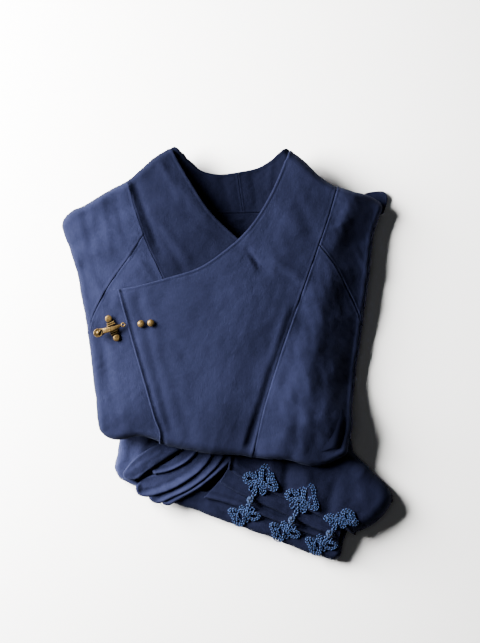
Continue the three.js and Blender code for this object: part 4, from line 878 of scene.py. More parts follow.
rightHem = onPath(jacketRim, (168, -140))
layCloth({
    **jacketCloth, "material": rightWool, "name": "side_front_right", "far": rightRaglan,
    "near": rimBetween(jacketRim, rightSeamLower[-1], rightHem, 10 * fine), "left": rightSeamLower[::-1],
    "right": rimBetween(jacketRim, rightHem, rightRaglan[-1], 15 * fine),
    "kinds": {"far": "seam", "left": "seam"}, "rumples": [(50, 0.6, 18), (16, 0.13, 19), (7, 0.045, 20)],
    "folds": [
        (164, 84, 156, 10, 12, -1.5), (132, 40, 116, -40, 12, 1.3), (118, -60, 106, -120, 11, 1.0),
        (104, 60, 84, -30, 9, -0.9), (88, -50, 74, -130, 10, 0.9), (144, 110, 128, 60, 9, 0.9),
        (138, -34, 134, -72, 10, 1.7), (126, -4, 118, -50, 7, -0.5), (98, -84, 92, -136, 7, -0.6),
    ],
}, jacketPacket, flatLift)
print("jacket laid")

# back of the neck

neck = {
    "cloth": 26, "rise": 9, "middle": 6, "halfWidth": 76,
    "seam": rows((13, 257.3), (17, 227), (21, 200)),
    "seamLeft": rows((-58, 206), (-18, 200), (21, 200)),
    "seamRight": rows((21, 200), (45, 201), (74, 206)),
    "sideLeft": rows((-90, 266), (-80, 246), (-68, 226), (-58, 206)),
    "sideRight": rows((96, 266), (91, 246), (83, 226), (74, 206)),
    "bottom": rows((-26, 168), (14, 156), (48, 172)), "under": 5.6,
}


def neckHeight(points):
    # the collar rises to the peaks and stays below the front panels
    aside = np.abs((points[:, 0] - neck["middle"]) / neck["halfWidth"])
    rise = neck["rise"] * np.minimum(aside, 1.1) ** 3
    roof = jacketPacket.base(points)[:, 2] - neck["under"]
    return np.minimum(neck["cloth"] + rise, roof)


neckRest = Rest(neckHeight)
neckCloth = {"material": insideWool, "slot": "wool_inside", "restsOn": "body_core", "cell": 1.6,
             "rumples": [(30, 0.3, 21), (9, 0.08, 22)]}
layCloth({
    **neckCloth, "name": "collar_back_left", "far": spline(jacket["collarTop"][:8], 9 * fine),
    "near": spline(neck["seamLeft"], 9 * fine), "left": spline(neck["sideLeft"], 6 * fine)[::-1],
    "right": spline(neck["seam"] + [0.7, 0], 6 * fine)[::-1],
    "kinds": {"far": "collar", "right": "pressed", "near": "pressed"},
    "folds": [(-60, 262, -30, 220, 6, 0.8), (-8, 246, 2, 210, 5, -0.7)],
}, neckRest, flatLift)
layCloth({
    **neckCloth, "name": "collar_back_right", "far": spline(jacket["collarTop"][7:], 8 * fine),
    "near": spline(neck["seamRight"], 8 * fine), "left": spline(neck["seam"], 6 * fine)[::-1],
    "right": spline(neck["sideRight"], 6 * fine)[::-1],
    "kinds": {"far": "collar", "left": "pressed", "near": "pressed"},
    "folds": [(34, 250, 40, 214, 5, -0.7), (60, 262, 58, 220, 5, 0.8)],
}, neckRest, flatLift)
layCloth({
    **neckCloth, "name": "back_neck",
    "far": joined(spline(neck["seamLeft"], 9 * fine), spline(neck["seamRight"], 8 * fine)),
    "near": spline(neck["bottom"], 17 * fine),
    "left": evenly(np.array([neck["bottom"][0], neck["seamLeft"][0]]), 3 * fine),
    "right": evenly(np.array([neck["bottom"][2], neck["seamRight"][2]]), 3 * fine),
    "kinds": {"far": "seam"},
    "folds": [(-6, 183, 16, 190, 3.5, 1.1), (14, 188, 30, 183, 3.0, -1.1), (-2, 192, 8, 184, 3, -0.8)],
}, neckRest, flatLift)

shoulderCorner = {
    "level": 4.4,
    "out": rows((183, 225), (203, 231), (221, 230.5), (225, 222), (219, 200)),
    "in": rows((180, 214), (192, 211), (203, 206), (206, 200), (207, 196)),
}


layCloth({
    "name": "back_shoulder_right", "material": wool, "slot": "wool", "restsOn": "body_core", "cell": 1.2,
    "near": spline(shoulderCorner["in"], 8 * fine), "far": spline(shoulderCorner["out"], 8 * fine),
    "left": evenly(np.array([shoulderCorner["in"][0], shoulderCorner["out"][0]]), 3 * fine),
    "right": evenly(np.array([shoulderCorner["in"][4], shoulderCorner["out"][4]]), 3 * fine),
    "rumples": [(18, 0.25, 23)],
}, Rest(level(shoulderCorner["level"])), flatLift)
print("neck laid")

# skirt

skirt = {
    "roll": 7, "turn": 2.5, "rim": 15, "crown": 1.2, "crownReach": 30, "sideTurn": 1.3, "topTurn": 1.6,
    "outline": rows(
        (-150, -96), (-157, -132), (-161, -160), (-155, -174), (-130, -186), (-100, -200), (-53, -216),
        (3, -236), (59, -256), (105, -275), (148, -289), (160, -282), (162, -262), (168, -244),
        (198, -230), (212, -216), (222, -200), (214, -187), (190, -166), (166, -140), (158, -96), (0, -92)),
    "upperEdge": rows((-1, -159), (21, -173), (66, -194), (122, -222), (172, -246)),
    "foldUpper": rows((-12, -178), (12, -192), (73, -220), (129, -246), (157, -256)),
    "foldLower": rows((-34, -200), (-12, -205), (42, -223), (101, -246), (155, -265)),
    "folds": [(96, -168, 176, -206, 8, 1.1), (30, -152, 90, -184, 7, -0.9), (-20, -212, 60, -238, 6, 0.8),
              (90, -256, 140, -276, 6, -0.8)],
}
skirtLoop = loopOf(skirt["outline"], 4, 2)


def skirtHeight(points, inside):
    return skirt["rim"] + crownAt(skirt, inside) + foldHeight(skirt["folds"], points)


skirtPacket = Packet(skirtLoop, skirt["roll"], skirtHeight)
skirtRim = skirtPacket.rim(skirt["turn"])
sideRim = skirtPacket.rim(skirt["sideTurn"])
topRim = skirtPacket.rim(skirt["topTurn"])


def raised(layers):
    return level(layers * clothSize["layer"])


def straight(start, end, steps):
    return evenly(np.array([start, end], float), steps * fine)


skirtCloth = {"material": skirtWool, "slot": "skirt_wool", "restsOn": "skirt_core", "cell": 2.0,
              "rumples": [(34, 0.35, 24), (12, 0.10, 25), (6, 0.045, 26)]}
sideTop = onPath(skirtRim, (-152, -104))
sideBottom = onPath(skirtRim, (-122, -191))
sideFold = rows((-78, -104), (-86, -124), (-111, -142), (-131, -156), (-139, -168), (-124, -181))
layCloth({
    **skirtCloth, "material": sideSkirtWool, "name": "skirt_side_left",
    "left": rimBetween(skirtRim, sideTop, sideBottom, 12 * fine), "right": spline(sideFold, 12 * fine),
    "near": straight(sideTop, sideFold[0], 8), "far": straight(sideBottom, sideFold[5], 8),
    "folds": [(-128, -112, -138, -150, 7, -1.0), (-142, -108, -147, -138, 5, 0.7),
              (-112, -116, -128, -142, 4, 0.6)],
}, skirtPacket, raised(-0.3))

lowerLeft = onPath(skirtRim, (-84, -207))
lowerCorner = onPath(skirtRim, (158, -290))
lowerTurn = onPath(skirtRim, (163, -262))
lowerEnd = onPath(sideRim, (167, -246))
lowerTop = [(-54, -188), *[(x + 2, y + 9) for x, y in skirt["foldLower"][1:]]]
layCloth({
    **skirtCloth, "material": frontSkirtWool, "name": "skirt_front_lower",
    "near": rimBetween(skirtRim, lowerLeft, lowerCorner, 24 * fine),
    "far": spline([*lowerTop, lowerEnd], 24 * fine), "left": straight(lowerLeft, lowerTop[0], 7),
    "right": evenly(joined(rimBetween(skirtRim, lowerCorner, lowerTurn, 4 * fine),
                           np.array([lowerTurn, lowerEnd])), 7 * fine),
    "folds": [(-18, -211, 10, -232, 4, -1.3), (-2, -200, 46, -226, 4, 0.7), (40, -238, 130, -270, 5, 0.6),
              (60, -232, 128, -262, 3.5, -0.7)],
}, skirtPacket, flatLift)


def foldStrip(name, edge, cover, layers):
    # a placket fold runs on under the one that covers it
    top = [(x + 5, y + 8) for x, y in cover]
    top[-1] = (edge[-1][0] + 2, top[-1][1])
    layCloth({
        **skirtCloth, "material": frontSkirtWool, "name": name,
        "near": spline(edge, 20 * fine), "far": spline(top, 20 * fine),
        "left": straight(edge[0], top[0], 3), "right": straight(edge[-1], top[-1], 3), "cell": 1.6,
        "kinds": {"near": "fold"},
    }, skirtPacket, raised(layers))


foldStrip("placket_fold_lower", skirt["foldLower"], skirt["foldUpper"], 1)
foldStrip("placket_fold_upper", skirt["foldUpper"], skirt["upperEdge"], 2)

upperTopEnd = onPath(topRim, (162, -120))
upperEdgeEnd = onPath(topRim, skirt["upperEdge"][4])
upperCorner = onPath(topRim, (226, -200))
upperTop = rows((18, -106), (90, -106), (150, -108))
upperTopLine = spline([*upperTop, upperTopEnd], 11 * fine)
layCloth({
    **skirtCloth, "material": frontSkirtWool, "name": "skirt_front_upper",
    "near": spline([*skirt["upperEdge"][:-1], upperEdgeEnd], 18 * fine),
    "far": joined(upperTopLine, rimBetween(topRim, upperTopEnd, upperCorner, 7 * fine)),
    "left": spline([skirt["upperEdge"][0], (4, -136), upperTop[0]], 9 * fine),
    "right": rimBetween(topRim, upperEdgeEnd, upperCorner, 9 * fine),
    "kinds": {"near": "fold", "left": "fold"},
    "folds": [(20, -150, 60, -176, 5, -1.2), (36, -146, 78, -166, 5, 0.9), (100, -176, 170, -214, 6, 0.9),
              (128, -172, 190, -206, 6, -1.1), (150, -160, 198, -192, 5, 0.8), (60, -150, 110, -168, 7, 0.6),
              (84, -186, 150, -222, 5, -0.7), (84, -150, 80, -186, 7, -3.0), (102, -156, 118, -196, 9, 2.4),
              (148, -186, 140, -216, 8, -2.4), (120, -206, 142, -228, 7, 1.8), (62, -148, 56, -184, 7, 1.8),
              (184, -170, 190, -204, 9, 1.6)],
}, skirtPacket, raised(3))
print("skirt laid")

# sash

sash = {"wall": 1.7, "roll": 2.8, "turn": 2.7, "top": 22.4, "drop": 7.4, "dipBy": 0.48}
# each turn of the sash between the edge that shows and the one that dips out of sight
sashBands = [
    {"name": "sash_end", "level": -0.9, "width": 26, "dip": 0,
     "show": rows((-42, -118), (-70, -135), (-95, -150), (-115, -164), (-128, -174), (-141, -175),
                  (-150, -167)),
     "hide": rows((-88, -118), (-118, -135), (-137, -150), (-150, -167)),
     "folds": [(-60, -128, -132, -170, 3, -0.8), (-96, -136, -136, -162, 3.5, 0.6)]},
    {"name": "sash_inner", "level": 0.6, "width": 14, "dip": 1,
     "show": rows((-32, -118), (-52, -146), (-82, -163), (-116, -168.5)),
     "hide": rows((-54, -118), (-76, -143), (-94, -153.5), (-116, -168.5)), "folds": []},
    {"name": "sash_loop_1", "level": 0.2, "width": 24, "dip": 0.8,
     "show": rows((-14, -118), (-26, -148), (-48, -170), (-82, -190), (-116, -199), (-128, -195),
                  (-131, -184)),
     "hide": rows((-38, -118), (-54, -143), (-80, -160), (-118, -172), (-131, -184)),
     "folds": [(-40, -160, -112, -190, 3, -0.7), (-90, -182, -124, -188, 2.6, 0.6)]},
    {"name": "sash_loop_2", "level": 0, "width": 20, "dip": 0.5,
     "show": rows((8, -118), (-14, -155), (-48, -185), (-78, -200), (-100, -208.5), (-112, -201)),
     "hide": rows((-20, -118), (-32, -146), (-54, -168), (-86, -186), (-112, -194), (-112, -201)),
     "folds": [(-30, -166, -96, -200, 2.8, -0.6)]},
    {"name": "sash_loop_3", "level": -0.6, "width": 18, "dip": 0.42,
     "show": rows((26, -118), (8, -144), (-20, -171), (-42, -188), (-66, -201), (-86, -211.5),
                  (-95, -207.5)),
     "hide": rows((2, -118), (-20, -154), (-54, -182), (-84, -197), (-95, -207.5)),
     "folds": [(0, -148, -70, -200, 2.6, -0.5)]},
]


def laySash(band):
    # one turn of the sash, with its own rounded edges
    outline = loopOf(joined(spline(band["show"], 24), spline(band["hide"], 24)[::-1]), 3, 2)
    if signedArea(outline) < 0:
        outline = outline[::-1]
    edge = spline(band["show"], 30)

    def bandHeight(points, _):
        part = ease(0, band["width"] * sash["dipBy"], nearestOn(edge, points, closed=False)[0])
        return sash["top"] + band["level"] - band["dip"] * sash["drop"] * part

    packet = Packet(outline, sash["roll"], bandHeight)
    rim = packet.rim(sash["turn"])
    ends = [onPath(rim, band[side][place]) for side in ("show", "hide") for place in (0, -2)]
    layCloth({
        **skirtCloth, "name": band["name"], "near": rimBetween(rim, ends[0], ends[1], 12 * fine),
        "far": rimBetween(rim, ends[2], ends[3], 12 * fine), "left": straight(ends[0], ends[2], 7),
        "right": rimBetween(rim, ends[1], ends[3], 7 * fine), "wall": sash["wall"], "cell": 1.2,
        "folds": band["folds"], "rumples": [(16, 0.14, 27), (6, 0.05, 28)],
    }, packet, flatLift)


for band in sashBands:
    laySash(band)
print("sash laid")


# folded layers inside: rings stacked round a loop, with a groove between layers

# the rounded edge of one layer: height within the layer and distance in from its outline
layerEdge = ((0.03, 3.0), (0.14, 1.1), (0.34, 0.25), (0.6, 0.15), (0.85, 0.9), (0.97, 2.8))


def layerRings(bottomAt, topAt, layers, inset, seed):
    # each ring is a function of the loop's points and normals
    chance = np.random.default_rng(seed)
    rings = []
    for number in range(layers):
        wander = [[chance.uniform(*span) for span in ((25, 90), (0, 6.28), (0.3, 1.0))] for _ in range(4)]
        out = chance.uniform(0, 1.6)
        for part, back in layerEdge:
            def ring(loop, normals, number=number, wander=wander, out=out, part=part, back=back):
                run = np.arange(len(loop)) * lengthOf(loop) / len(loop)
                sway = sum(high * np.sin(run / wide * 2 * math.pi / 2.2 + phase)
                           for wide, phase, high in wander)
                spots = loop - normals * (inset + out + back + sway * 0.6)[:, None]
                low, high = bottomAt(spots), topAt(spots)
                return np.column_stack([spots, low + (high - low) * (number + part) / layers])
            rings.append(ring)
    return rings


def stackMesh(form, loop, rings):
    # a closed skin over the rings
    normals = outward(loop)
    levels = np.stack([ring(loop, normals) for ring in rings])
    around, up = len(loop), len(levels)
    made = bmesh.ops.create_grid(form, x_segments=around, y_segments=up - 1, size=0.5)["verts"]
    for vert in made:
        i = round((vert.co.x + 0.5) * around) % around
        j = round((vert.co.y + 0.5) * (up - 1))
        vert.co = (levels[j, i] + planShift) / 1000
    bmesh.ops.remove_doubles(form, verts=made, dist=1e-7)
    bmesh.ops.holes_fill(form, edges=[edge for edge in form.edges if edge.is_boundary], sides=0)


def addStack(name, form):
    bmesh.ops.triangulate(form, faces=[face for face in form.faces if len(face.verts) > 4])
    return addPiece(name, "_layers", meshOf(form, name + "_layers"), layerWool, "wool_inside")


body = {
    "outline": rows(
        (-230, 186), (-213, 125), (-202, 70), (-192, 0), (-183, -70), (-178, -104), (-158, -114),
        (-120, -112), (-60, -125), (34, -139), (122, -150), (161, -135), (170, -92), (175, -36), (186, 40),
        (195, 120), (201, 167), (211, 205), (194, 223), (152, 234), (108, 263), (84, 277), (62, 268),
        (38, 257), (12, 250), (-18, 247), (-44, 258), (-68, 275), (-84, 280), (-106, 268),
        (-139.5, 244.5), (-164, 230), (-196, 210), (-219, 199)),
    "layers": 5, "seed": 40, "topInset": 11.5, "slack": 6.6,
    # the lid narrows ring by ring towards this line: its x, and its y from and to
    "spine": (-5, -60, 150), "inner": (0.9, 0.72, 0.5, 0.3),
    "well": rows((-92, 320), (-90, 268), (-78, 236), (-66, 204), (-48, 168), (14, 140), (62, 164), (82, 206),
                 (92, 236), (96, 268), (98, 320)),
    "wellFloor": 23.1, "wellTop": 90,
    # the underside climbs on to the skirt here
    "climbStart": -58, "climbEnd": -92, "climbHeight": 27.6, "reach": 300,
}


def bodyShoulder(spots):
    return rimHeight(spots) - jacket["roll"] * 2 + 0.2


def bodyCover(loop, normals):
    spots = loop - normals * body["topInset"]
    return np.column_stack([spots, rimHeight(spots) - clothSize["wall"] - body["slack"]])


def bodyInner(part):
    def ring(loop, normals):
        x, low, high = body["spine"]
        y = np.clip(loop[:, 1], low, high)
        spots = np.column_stack([x + (loop[:, 0] - x) * part, y + (loop[:, 1] - y) * part])
        crown = crownAt(jacket, nearestOn(jacketPacket.foldLine, spots)[0])
        return np.column_stack([spots, rimHeight(spots) + crown - clothSize["wall"] - body["slack"]])
    return ring


def cutAway(item, form):
    # takes the form's shape out of the item
    mesh = meshOf(form, "cutter")
    mesh.materials.append(item.data.materials[0])
    cutter = bpy.data.objects.new("cutter", mesh)
    bpy.context.collection.objects.link(cutter)
    cut = item.modifiers.new("cut", "BOOLEAN")
    cut.operation = "DIFFERENCE"
    cut.object = cutter
    cut.solver = "EXACT"
    graph = bpy.context.evaluated_depsgraph_get()
    result = bpy.data.meshes.new_from_object(item.evaluated_get(graph))
    item.modifiers.clear()
    item.data = result
    bpy.data.objects.remove(cutter)


def pushedOut(corners, way):
    # a block: a flat face with these corners, pushed that way, in metres
    form = bmesh.new()
    face = form.faces.new([form.verts.new(corner) for corner in corners])
    pushed = bmesh.ops.extrude_face_region(form, geom=[face])["geom"]
    far = [part for part in pushed if isinstance(part, bmesh.types.BMVert)]
    bmesh.ops.translate(form, verts=far, vec=way)
    bmesh.ops.recalc_face_normals(form, faces=form.faces)
    return form


def layBody():
    loop = evenLoop(loopOf(body["outline"], 4, 2), 300)
    rings = layerRings(level(0), bodyShoulder, body["layers"], 0, body["seed"])
    rings += [bodyCover, *[bodyInner(part) for part in body["inner"]]]
    form = bmesh.new()
    stackMesh(form, loop, rings)
    item = addStack("body_core", form)
    low, deep, reach = body["wellFloor"], body["wellTop"] - body["wellFloor"], body["reach"]
    well = [((x + planShift[0]) / 1000, (y + planShift[1]) / 1000, low / 1000) for x, y in body["well"][::-1]]
    cutAway(item, pushedOut(well, (0, 0, deep / 1000)))
    start, end, high = body["climbStart"], body["climbEnd"], body["climbHeight"]
    wedge = [(-reach / 1000, y / 1000, z / 1000) for y, z in (
        (start, -1), (end, high), (-reach, high), (-reach, -1))]
    cutAway(item, pushedOut(wedge, (2 * reach / 1000, 0, 0)))


layBody()
print("jacket layers stacked")

skirtSlabs = [
    {"bottom": 0, "top": 8.8, "layers": 3, "seed": 50, "rows": rows(
        (-147, -100), (-152, -132), (-154, -158), (-145, -173), (-100, -189), (-53, -205), (3, -224),
        (59, -244), (105, -264), (143, -278), (154, -272), (161, -252), (171, -238), (196, -224), (208, -212),
        (216, -200), (206, -186), (180, -164), (156, -132), (148, -100))},
    {"bottom": 8.4, "top": 11.4, "layers": 1, "seed": 51, "rows": rows(
        (38, -106), (16, -142), (-12, -178), (-38, -199), (-46, -208), (3, -222), (59, -242), (105, -262),
        (140, -275), (148, -268), (150, -250), (164, -232), (170, -200), (150, -150), (140, -106))},
    {"bottom": 11.0, "top": 22.3, "layers": 4, "seed": 52, "rows": rows(
        (44, -102), (30, -130), (34, -160), (76, -182), (128, -208), (170, -228), (194, -220), (206, -206),
        (208, -198), (198, -188), (172, -166), (150, -136), (140, -102))},
]


def layBelow():
    form = bmesh.new()
    for slab in skirtSlabs:
        outline = slab["rows"][::-1] if signedArea(slab["rows"]) < 0 else slab["rows"]
        loop = evenLoop(loopOf(outline, 4, 2), 220)
        rings = layerRings(level(slab["bottom"]), level(slab["top"]), slab["layers"], -0.8, slab["seed"])
        stackMesh(form, loop, rings)
    addStack("skirt_core", form)


layBelow()
print("skirt layers stacked")

# frogs and knots

frog = {
    # each pair: middle of the upper frog, its knot, middle of the lower frog, height of the upper one
    "pairs": [((44, -178), firstKnot, (24, -222), 1.0), ((102, -203), (90, -231), (81.5, -245), 1.0),
              ((157, -231), (143, -250), (132.5, -263), 0.62)],
    "upper": {"scale": (0.96, 0.96), "most": 3, "layers": (2, 3)},
    "lower": {"scale": (0.88, 0.66), "most": 2, "layers": (0, 1)},
    # the cord: its radius, strands side by side, length of a ply's turn, waist and bulge of the plies
    "strand": 0.95, "apart": 2.35, "pitch": 2.1, "ply": (0.86, 0.26), "around": 10, "cell": 0.8,
    # its gap to the cloth, how it waves, the step from strand to strand, and the links on top
    "rise": 0.3, "wave": 0.28, "step": 0.5, "weftLift": 1.25, "weftDip": 1.0, "stemLift": 0.5,
    # cord paths on the cloth, each with its number of strands side by side and its height above the cloth
    "left": {"strands": 3, "lift": 0.2, "rows": rows(
        (0, 0), (-3, 6.5), (-8, 13.4), (-14.7, 15.8), (-21, 12.6), (-23.4, 7.2), (-20.6, 1.2), (-14.5, -1.4),
        (-7.5, -1.6))},
    "right": {"strands": 3, "lift": 0.3, "rows": rows(
        (1, 0), (1.2, 11), (3, 21), (8, 26.2), (15, 24.6), (20, 18.4), (21, 10.6), (22.6, 4), (26, -3),
        (26.2, -9), (22.6, -12.8), (16.6, -12), (10.6, -8), (5, -4))},
    "rings": [
        {"strands": 1, "lift": -0.1, "rows": rows(
            (-0.6, 4), (-4.2, 12), (-4.6, 16.2), (-2.4, 18.2), (-0.4, 15.6), (0.6, 8))},
        {"strands": 1, "lift": 0.1, "rows": rows(
            (8.6, 12.6), (8.2, 17.4), (10.4, 20.6), (13.6, 18.4), (14.4, 13.6), (11.4, 11.2))},
        {"strands": 2, "lift": 0.4, "rows": rows(
            (11.4, 3.2), (11.8, 8), (15.4, 10), (18.4, 7.4), (18.2, 3.6), (14.8, 1.6))},
        {"strands": 1, "lift": 0.1, "rows": rows(
            (10.2, -2.6), (14.2, -0.6), (18.6, -2.2), (19.8, -5.8), (16.2, -7.6), (11.4, -6.2))},
        {"strands": 1, "lift": 0.0, "rows": rows(
            (-7.6, -3.6), (-12, -3.4), (-15.2, -7), (-13.4, -12.2), (-10, -10.6), (-8.2, -7))},
        {"strands": 1, "lift": 0.0, "rows": rows(
            (2.4, -4.4), (0.2, -10), (2.4, -17.6), (7.2, -16.2), (8.8, -10.6), (6, -6.4))},
        {"strands": 1, "lift": 0.1, "rows": rows((3, -7), (2.6, -12), (4.4, -14.2), (6, -11.4), (5.2, -8))},
    ],
    "weft": [rows((-8, 4), (-3.4, 2.4), (1, 0), (4.4, -3.6)),
             rows((-7, 0.4), (-3, -0.4), (1.4, -2.6), (3.6, -5.4)),
             rows((-3.6, 5.6), (-0.6, 3.8), (3, 2.6), (5.6, 0.6))],
    # the two cords that run to the knot: distance from its line at the frog and at the knot
    "stem": [(-2.2, -1.1), (1.2, 1.1)], "stemStart": (2.4, -1.5), "stemThick": 1.1, "stemBend": (0.55, 1.2),
    "stemInto": 1.4, "stemSpread": 0.9,
}
lowerFoldLine = spline(skirt["foldLower"], 60)
upperEdgeLine = spline(skirt["upperEdge"], 60)


def clothUnder(points, line, below, above):
    # height of the cloth that carries a cord, eased over a free edge
    distance, spot, _ = nearestOn(line, points, closed=False)
    layers = np.where(points[:, 1] > spot[:, 1], above, below + (above - below) * ease(7, 2, distance))
    return np.maximum(skirtPacket.base(points)[:, 2], skirt["rim"] - 1.2) + layers * clothSize["layer"]


def tube(form, path, radius, pitch, lean, closed=False):
    # a two-ply cord along a path of x, y, z, its ends drawn to a point
    if closed:
        path = np.vstack([path, path[:1]])
    run = np.concatenate([[0], np.cumsum(np.linalg.norm(np.diff(path, axis=0), axis=1))])
    ahead = np.gradient(path, axis=0)
    if closed:
        pitch = run[-1] / 2 / max(1, round(run[-1] / pitch / 2))
        ahead[0] = ahead[-1] = path[1] - path[-2]
    ahead /= np.linalg.norm(ahead, axis=1)[:, None]
    across = np.cross(ahead, [0, 0, 1.0])
    across /= np.maximum(np.linalg.norm(across, axis=1), 1e-9)[:, None]
    up = np.cross(across, ahead)
    around = frog["around"]
    turn = np.linspace(0, 2 * math.pi, around + 1)
    phase = turn[None, :] - lean * 2 * math.pi * run[:, None] / (2 * pitch)
    waist, bulge = frog["ply"]
    size = radius * (waist + bulge * np.cos(phase))
    if not closed:
        size *= np.clip(np.minimum(run, run[-1] - run) / radius, 0, 1)[:, None] ** 0.5
    spots = (path[:, None] + across[:, None] * (size * np.cos(turn))[..., None]
             + up[:, None] * (size * np.sin(turn))[..., None])
    made = bmesh.ops.create_grid(form, x_segments=around, y_segments=len(path) - 1, size=0.5)["verts"]
    layer = form.loops.layers.uv.verify()
    parts = {vert: (vert.co.x + 0.5, vert.co.y + 0.5) for vert in made}
    for face in {face for vert in made for face in vert.link_faces}:
        for loop in face.loops:
            x, y = parts[loop.vert]
            place = np.interp(y * (len(run) - 1), np.arange(len(run)), run)
            loop[layer].uv = (x, lean * place / (2 * pitch))
    for vert, (x, y) in parts.items():
        vert.co = (spots[round(y * (len(path) - 1)), round(x * around)] + planShift) / 1000
    bmesh.ops.remove_doubles(form, verts=made, dist=2e-6)


def turned(points, angle):
    # counterclockwise about the origin
    c, s = math.cos(angle), math.sin(angle)
    return points @ np.array([[c, s], [-s, c]])


def closedCurve(points, spacing):
    # a smooth closed curve through the points: one full turn cut from a longer curve
    curve = spline(np.vstack([points[-2:], points, points[:3]]), len(points) * 40)
    half = len(curve) // 2
    first = int(round(nearestOn(curve[:half], points[0], closed=False)[2][0]))
    last = half + int(round(nearestOn(curve[half:], points[0], closed=False)[2][0]))
    part = curve[first:last]
    return evenLoop(part, round(lengthOf(part) / spacing))


def strandsOf(points, strands, spacing):
    # parallel strands of one closed path, the first outermost
    curve = closedCurve(points, spacing)
    if signedArea(curve) < 0:
        curve = curve[::-1]
    for number in range(strands):
        inner = softened(curve - outward(curve) * (number * frog["apart"]), 3 * number)
        yield number, evenLoop(inner, round(lengthOf(inner) / spacing))


def addCords(name, form, material):
    bmesh.ops.recalc_face_normals(form, faces=form.faces)
    mesh = meshOf(form, name + "_cord")
    mesh.uv_layers[0].name = "cloth"
    addPiece(name, "_cord", mesh, material, "frog_cord")


def layFrog(name, kind, centre, knot, tall, angle, line):
    # closed loops of cord, three links woven over them and two cords to the knot
    form = bmesh.new()
    centre, knot = np.array(centre, float), np.array(knot, float)
    scale = np.array(frog[kind]["scale"]) * [1, tall]
    below, above = frog[kind]["layers"]
    strand, pitch = frog["strand"], frog["pitch"]

    def placed(points):
        return turned(points * scale, angle) + centre

    def heightOf(flat, lift, waves, phase):
        wave = np.sin(np.linspace(0, 2 * math.pi, len(flat)) * waves + phase)
        return clothUnder(flat, line, below, above) + (strand + frog["rise"]) + lift + frog["wave"] * wave

    for order, loop in enumerate([frog["left"], frog["right"], *frog["rings"]]):
        count = min(loop["strands"], frog[kind]["most"])
        for number, flat in strandsOf(loop["rows"] * scale, count, frog["cell"]):
            flat = turned(flat, angle) + centre
            lift = loop["lift"] + frog["step"] * number
            height = heightOf(flat, lift, 3 + order, order * 1.3 + number * 2.1)
            tube(form, np.column_stack([flat, height]), strand, pitch, -1 if number % 2 else 1, closed=True)
    for order, weft in enumerate(frog["weft"]):
        flat = placed(spline(weft, round(lengthOf(weft) / 0.7)))
        dip = frog["weftDip"] * np.abs(np.linspace(-1, 1, len(flat))) ** 3
        height = heightOf(flat, frog["weftLift"], 1, order) - dip
        tube(form, np.column_stack([flat, height]), strand, pitch, 1 if order % 2 else -1)
    run = (knot - centre) / np.hypot(*(knot - centre))
    side = np.array([run[1], -run[0]])
    (apart, back), (bendAt, bendOut), thick = frog["stemStart"], frog["stemBend"], frog["stemThick"]
    for order, (wide, close) in enumerate(frog["stem"]):
        near = placed(np.array([[wide * apart, back]]))[0]
        bend = centre * (1 - bendAt) + knot * bendAt + side * abs(wide) * bendOut * (1 if order else -1)
        last = knot - run * (knotForm["reach"] - frog["stemInto"]) + side * close * frog["stemSpread"]
        flat = spline(np.array([near, bend, last]), 44)
        height = heightOf(flat, frog["stemLift"], 1, order)
        tube(form, np.column_stack([flat, height]), strand * thick, pitch * thick, 1 if order else -1)
    addCords(name, form, cordFinish)


# one thick cord wound round a filling, over and under itself
knotForm = {"reach": 6.2, "squash": 0.75, "strand": 1.7, "pitch": 2.5, "petals": 5, "turns": 3,
            "spread": 1.05, "weave": 0.27, "lean": 0.08, "filling": 0.93}


def layKnot(name):
    middle = middleOf(name) - planShift
    form = bmesh.new()
    core = knotForm["reach"] - knotForm["strand"]
    angle = np.linspace(0, 2 * math.pi, 241)[:-1]
    petal = angle * knotForm["petals"]
    lat, lon = knotForm["spread"] * np.cos(petal), angle * knotForm["turns"]
    radius = core + knotForm["weave"] * np.cos(petal * 2)
    spots = np.column_stack([radius * np.cos(lat) * np.cos(lon), radius * np.sin(lat),
                             radius * np.cos(lat) * np.sin(lon) * knotForm["squash"]])
    spots[:, :2] = turned(spots[:, :2], knotForm["lean"])
    tube(form, spots + middle, knotForm["strand"], knotForm["pitch"], 1, closed=True)
    ball = bmesh.ops.create_uvsphere(form, u_segments=24, v_segments=16,
                                     radius=core / 1000 * knotForm["filling"])["verts"]
    bmesh.ops.scale(form, verts=ball, vec=(1, 1, knotForm["squash"]))
    bmesh.ops.translate(form, verts=ball, vec=(middle + planShift) / 1000)
    addCords(name, form, knotFinish)


for index, (upper, knot, lower, tall) in enumerate(frog["pairs"], 1):
    lean = 0.06 * math.sin(index * 2.3)
    layFrog(f"frog_upper_{index}", "upper", upper, knot, tall, lean, upperEdgeLine)
    layFrog(f"frog_lower_{index}", "lower", lower, knot, 1, math.pi + lean * 1.5, lowerFoldLine)
    layKnot(f"frog_knot_{index}")
print("frogs and knots tied")

# brass clasp and studs

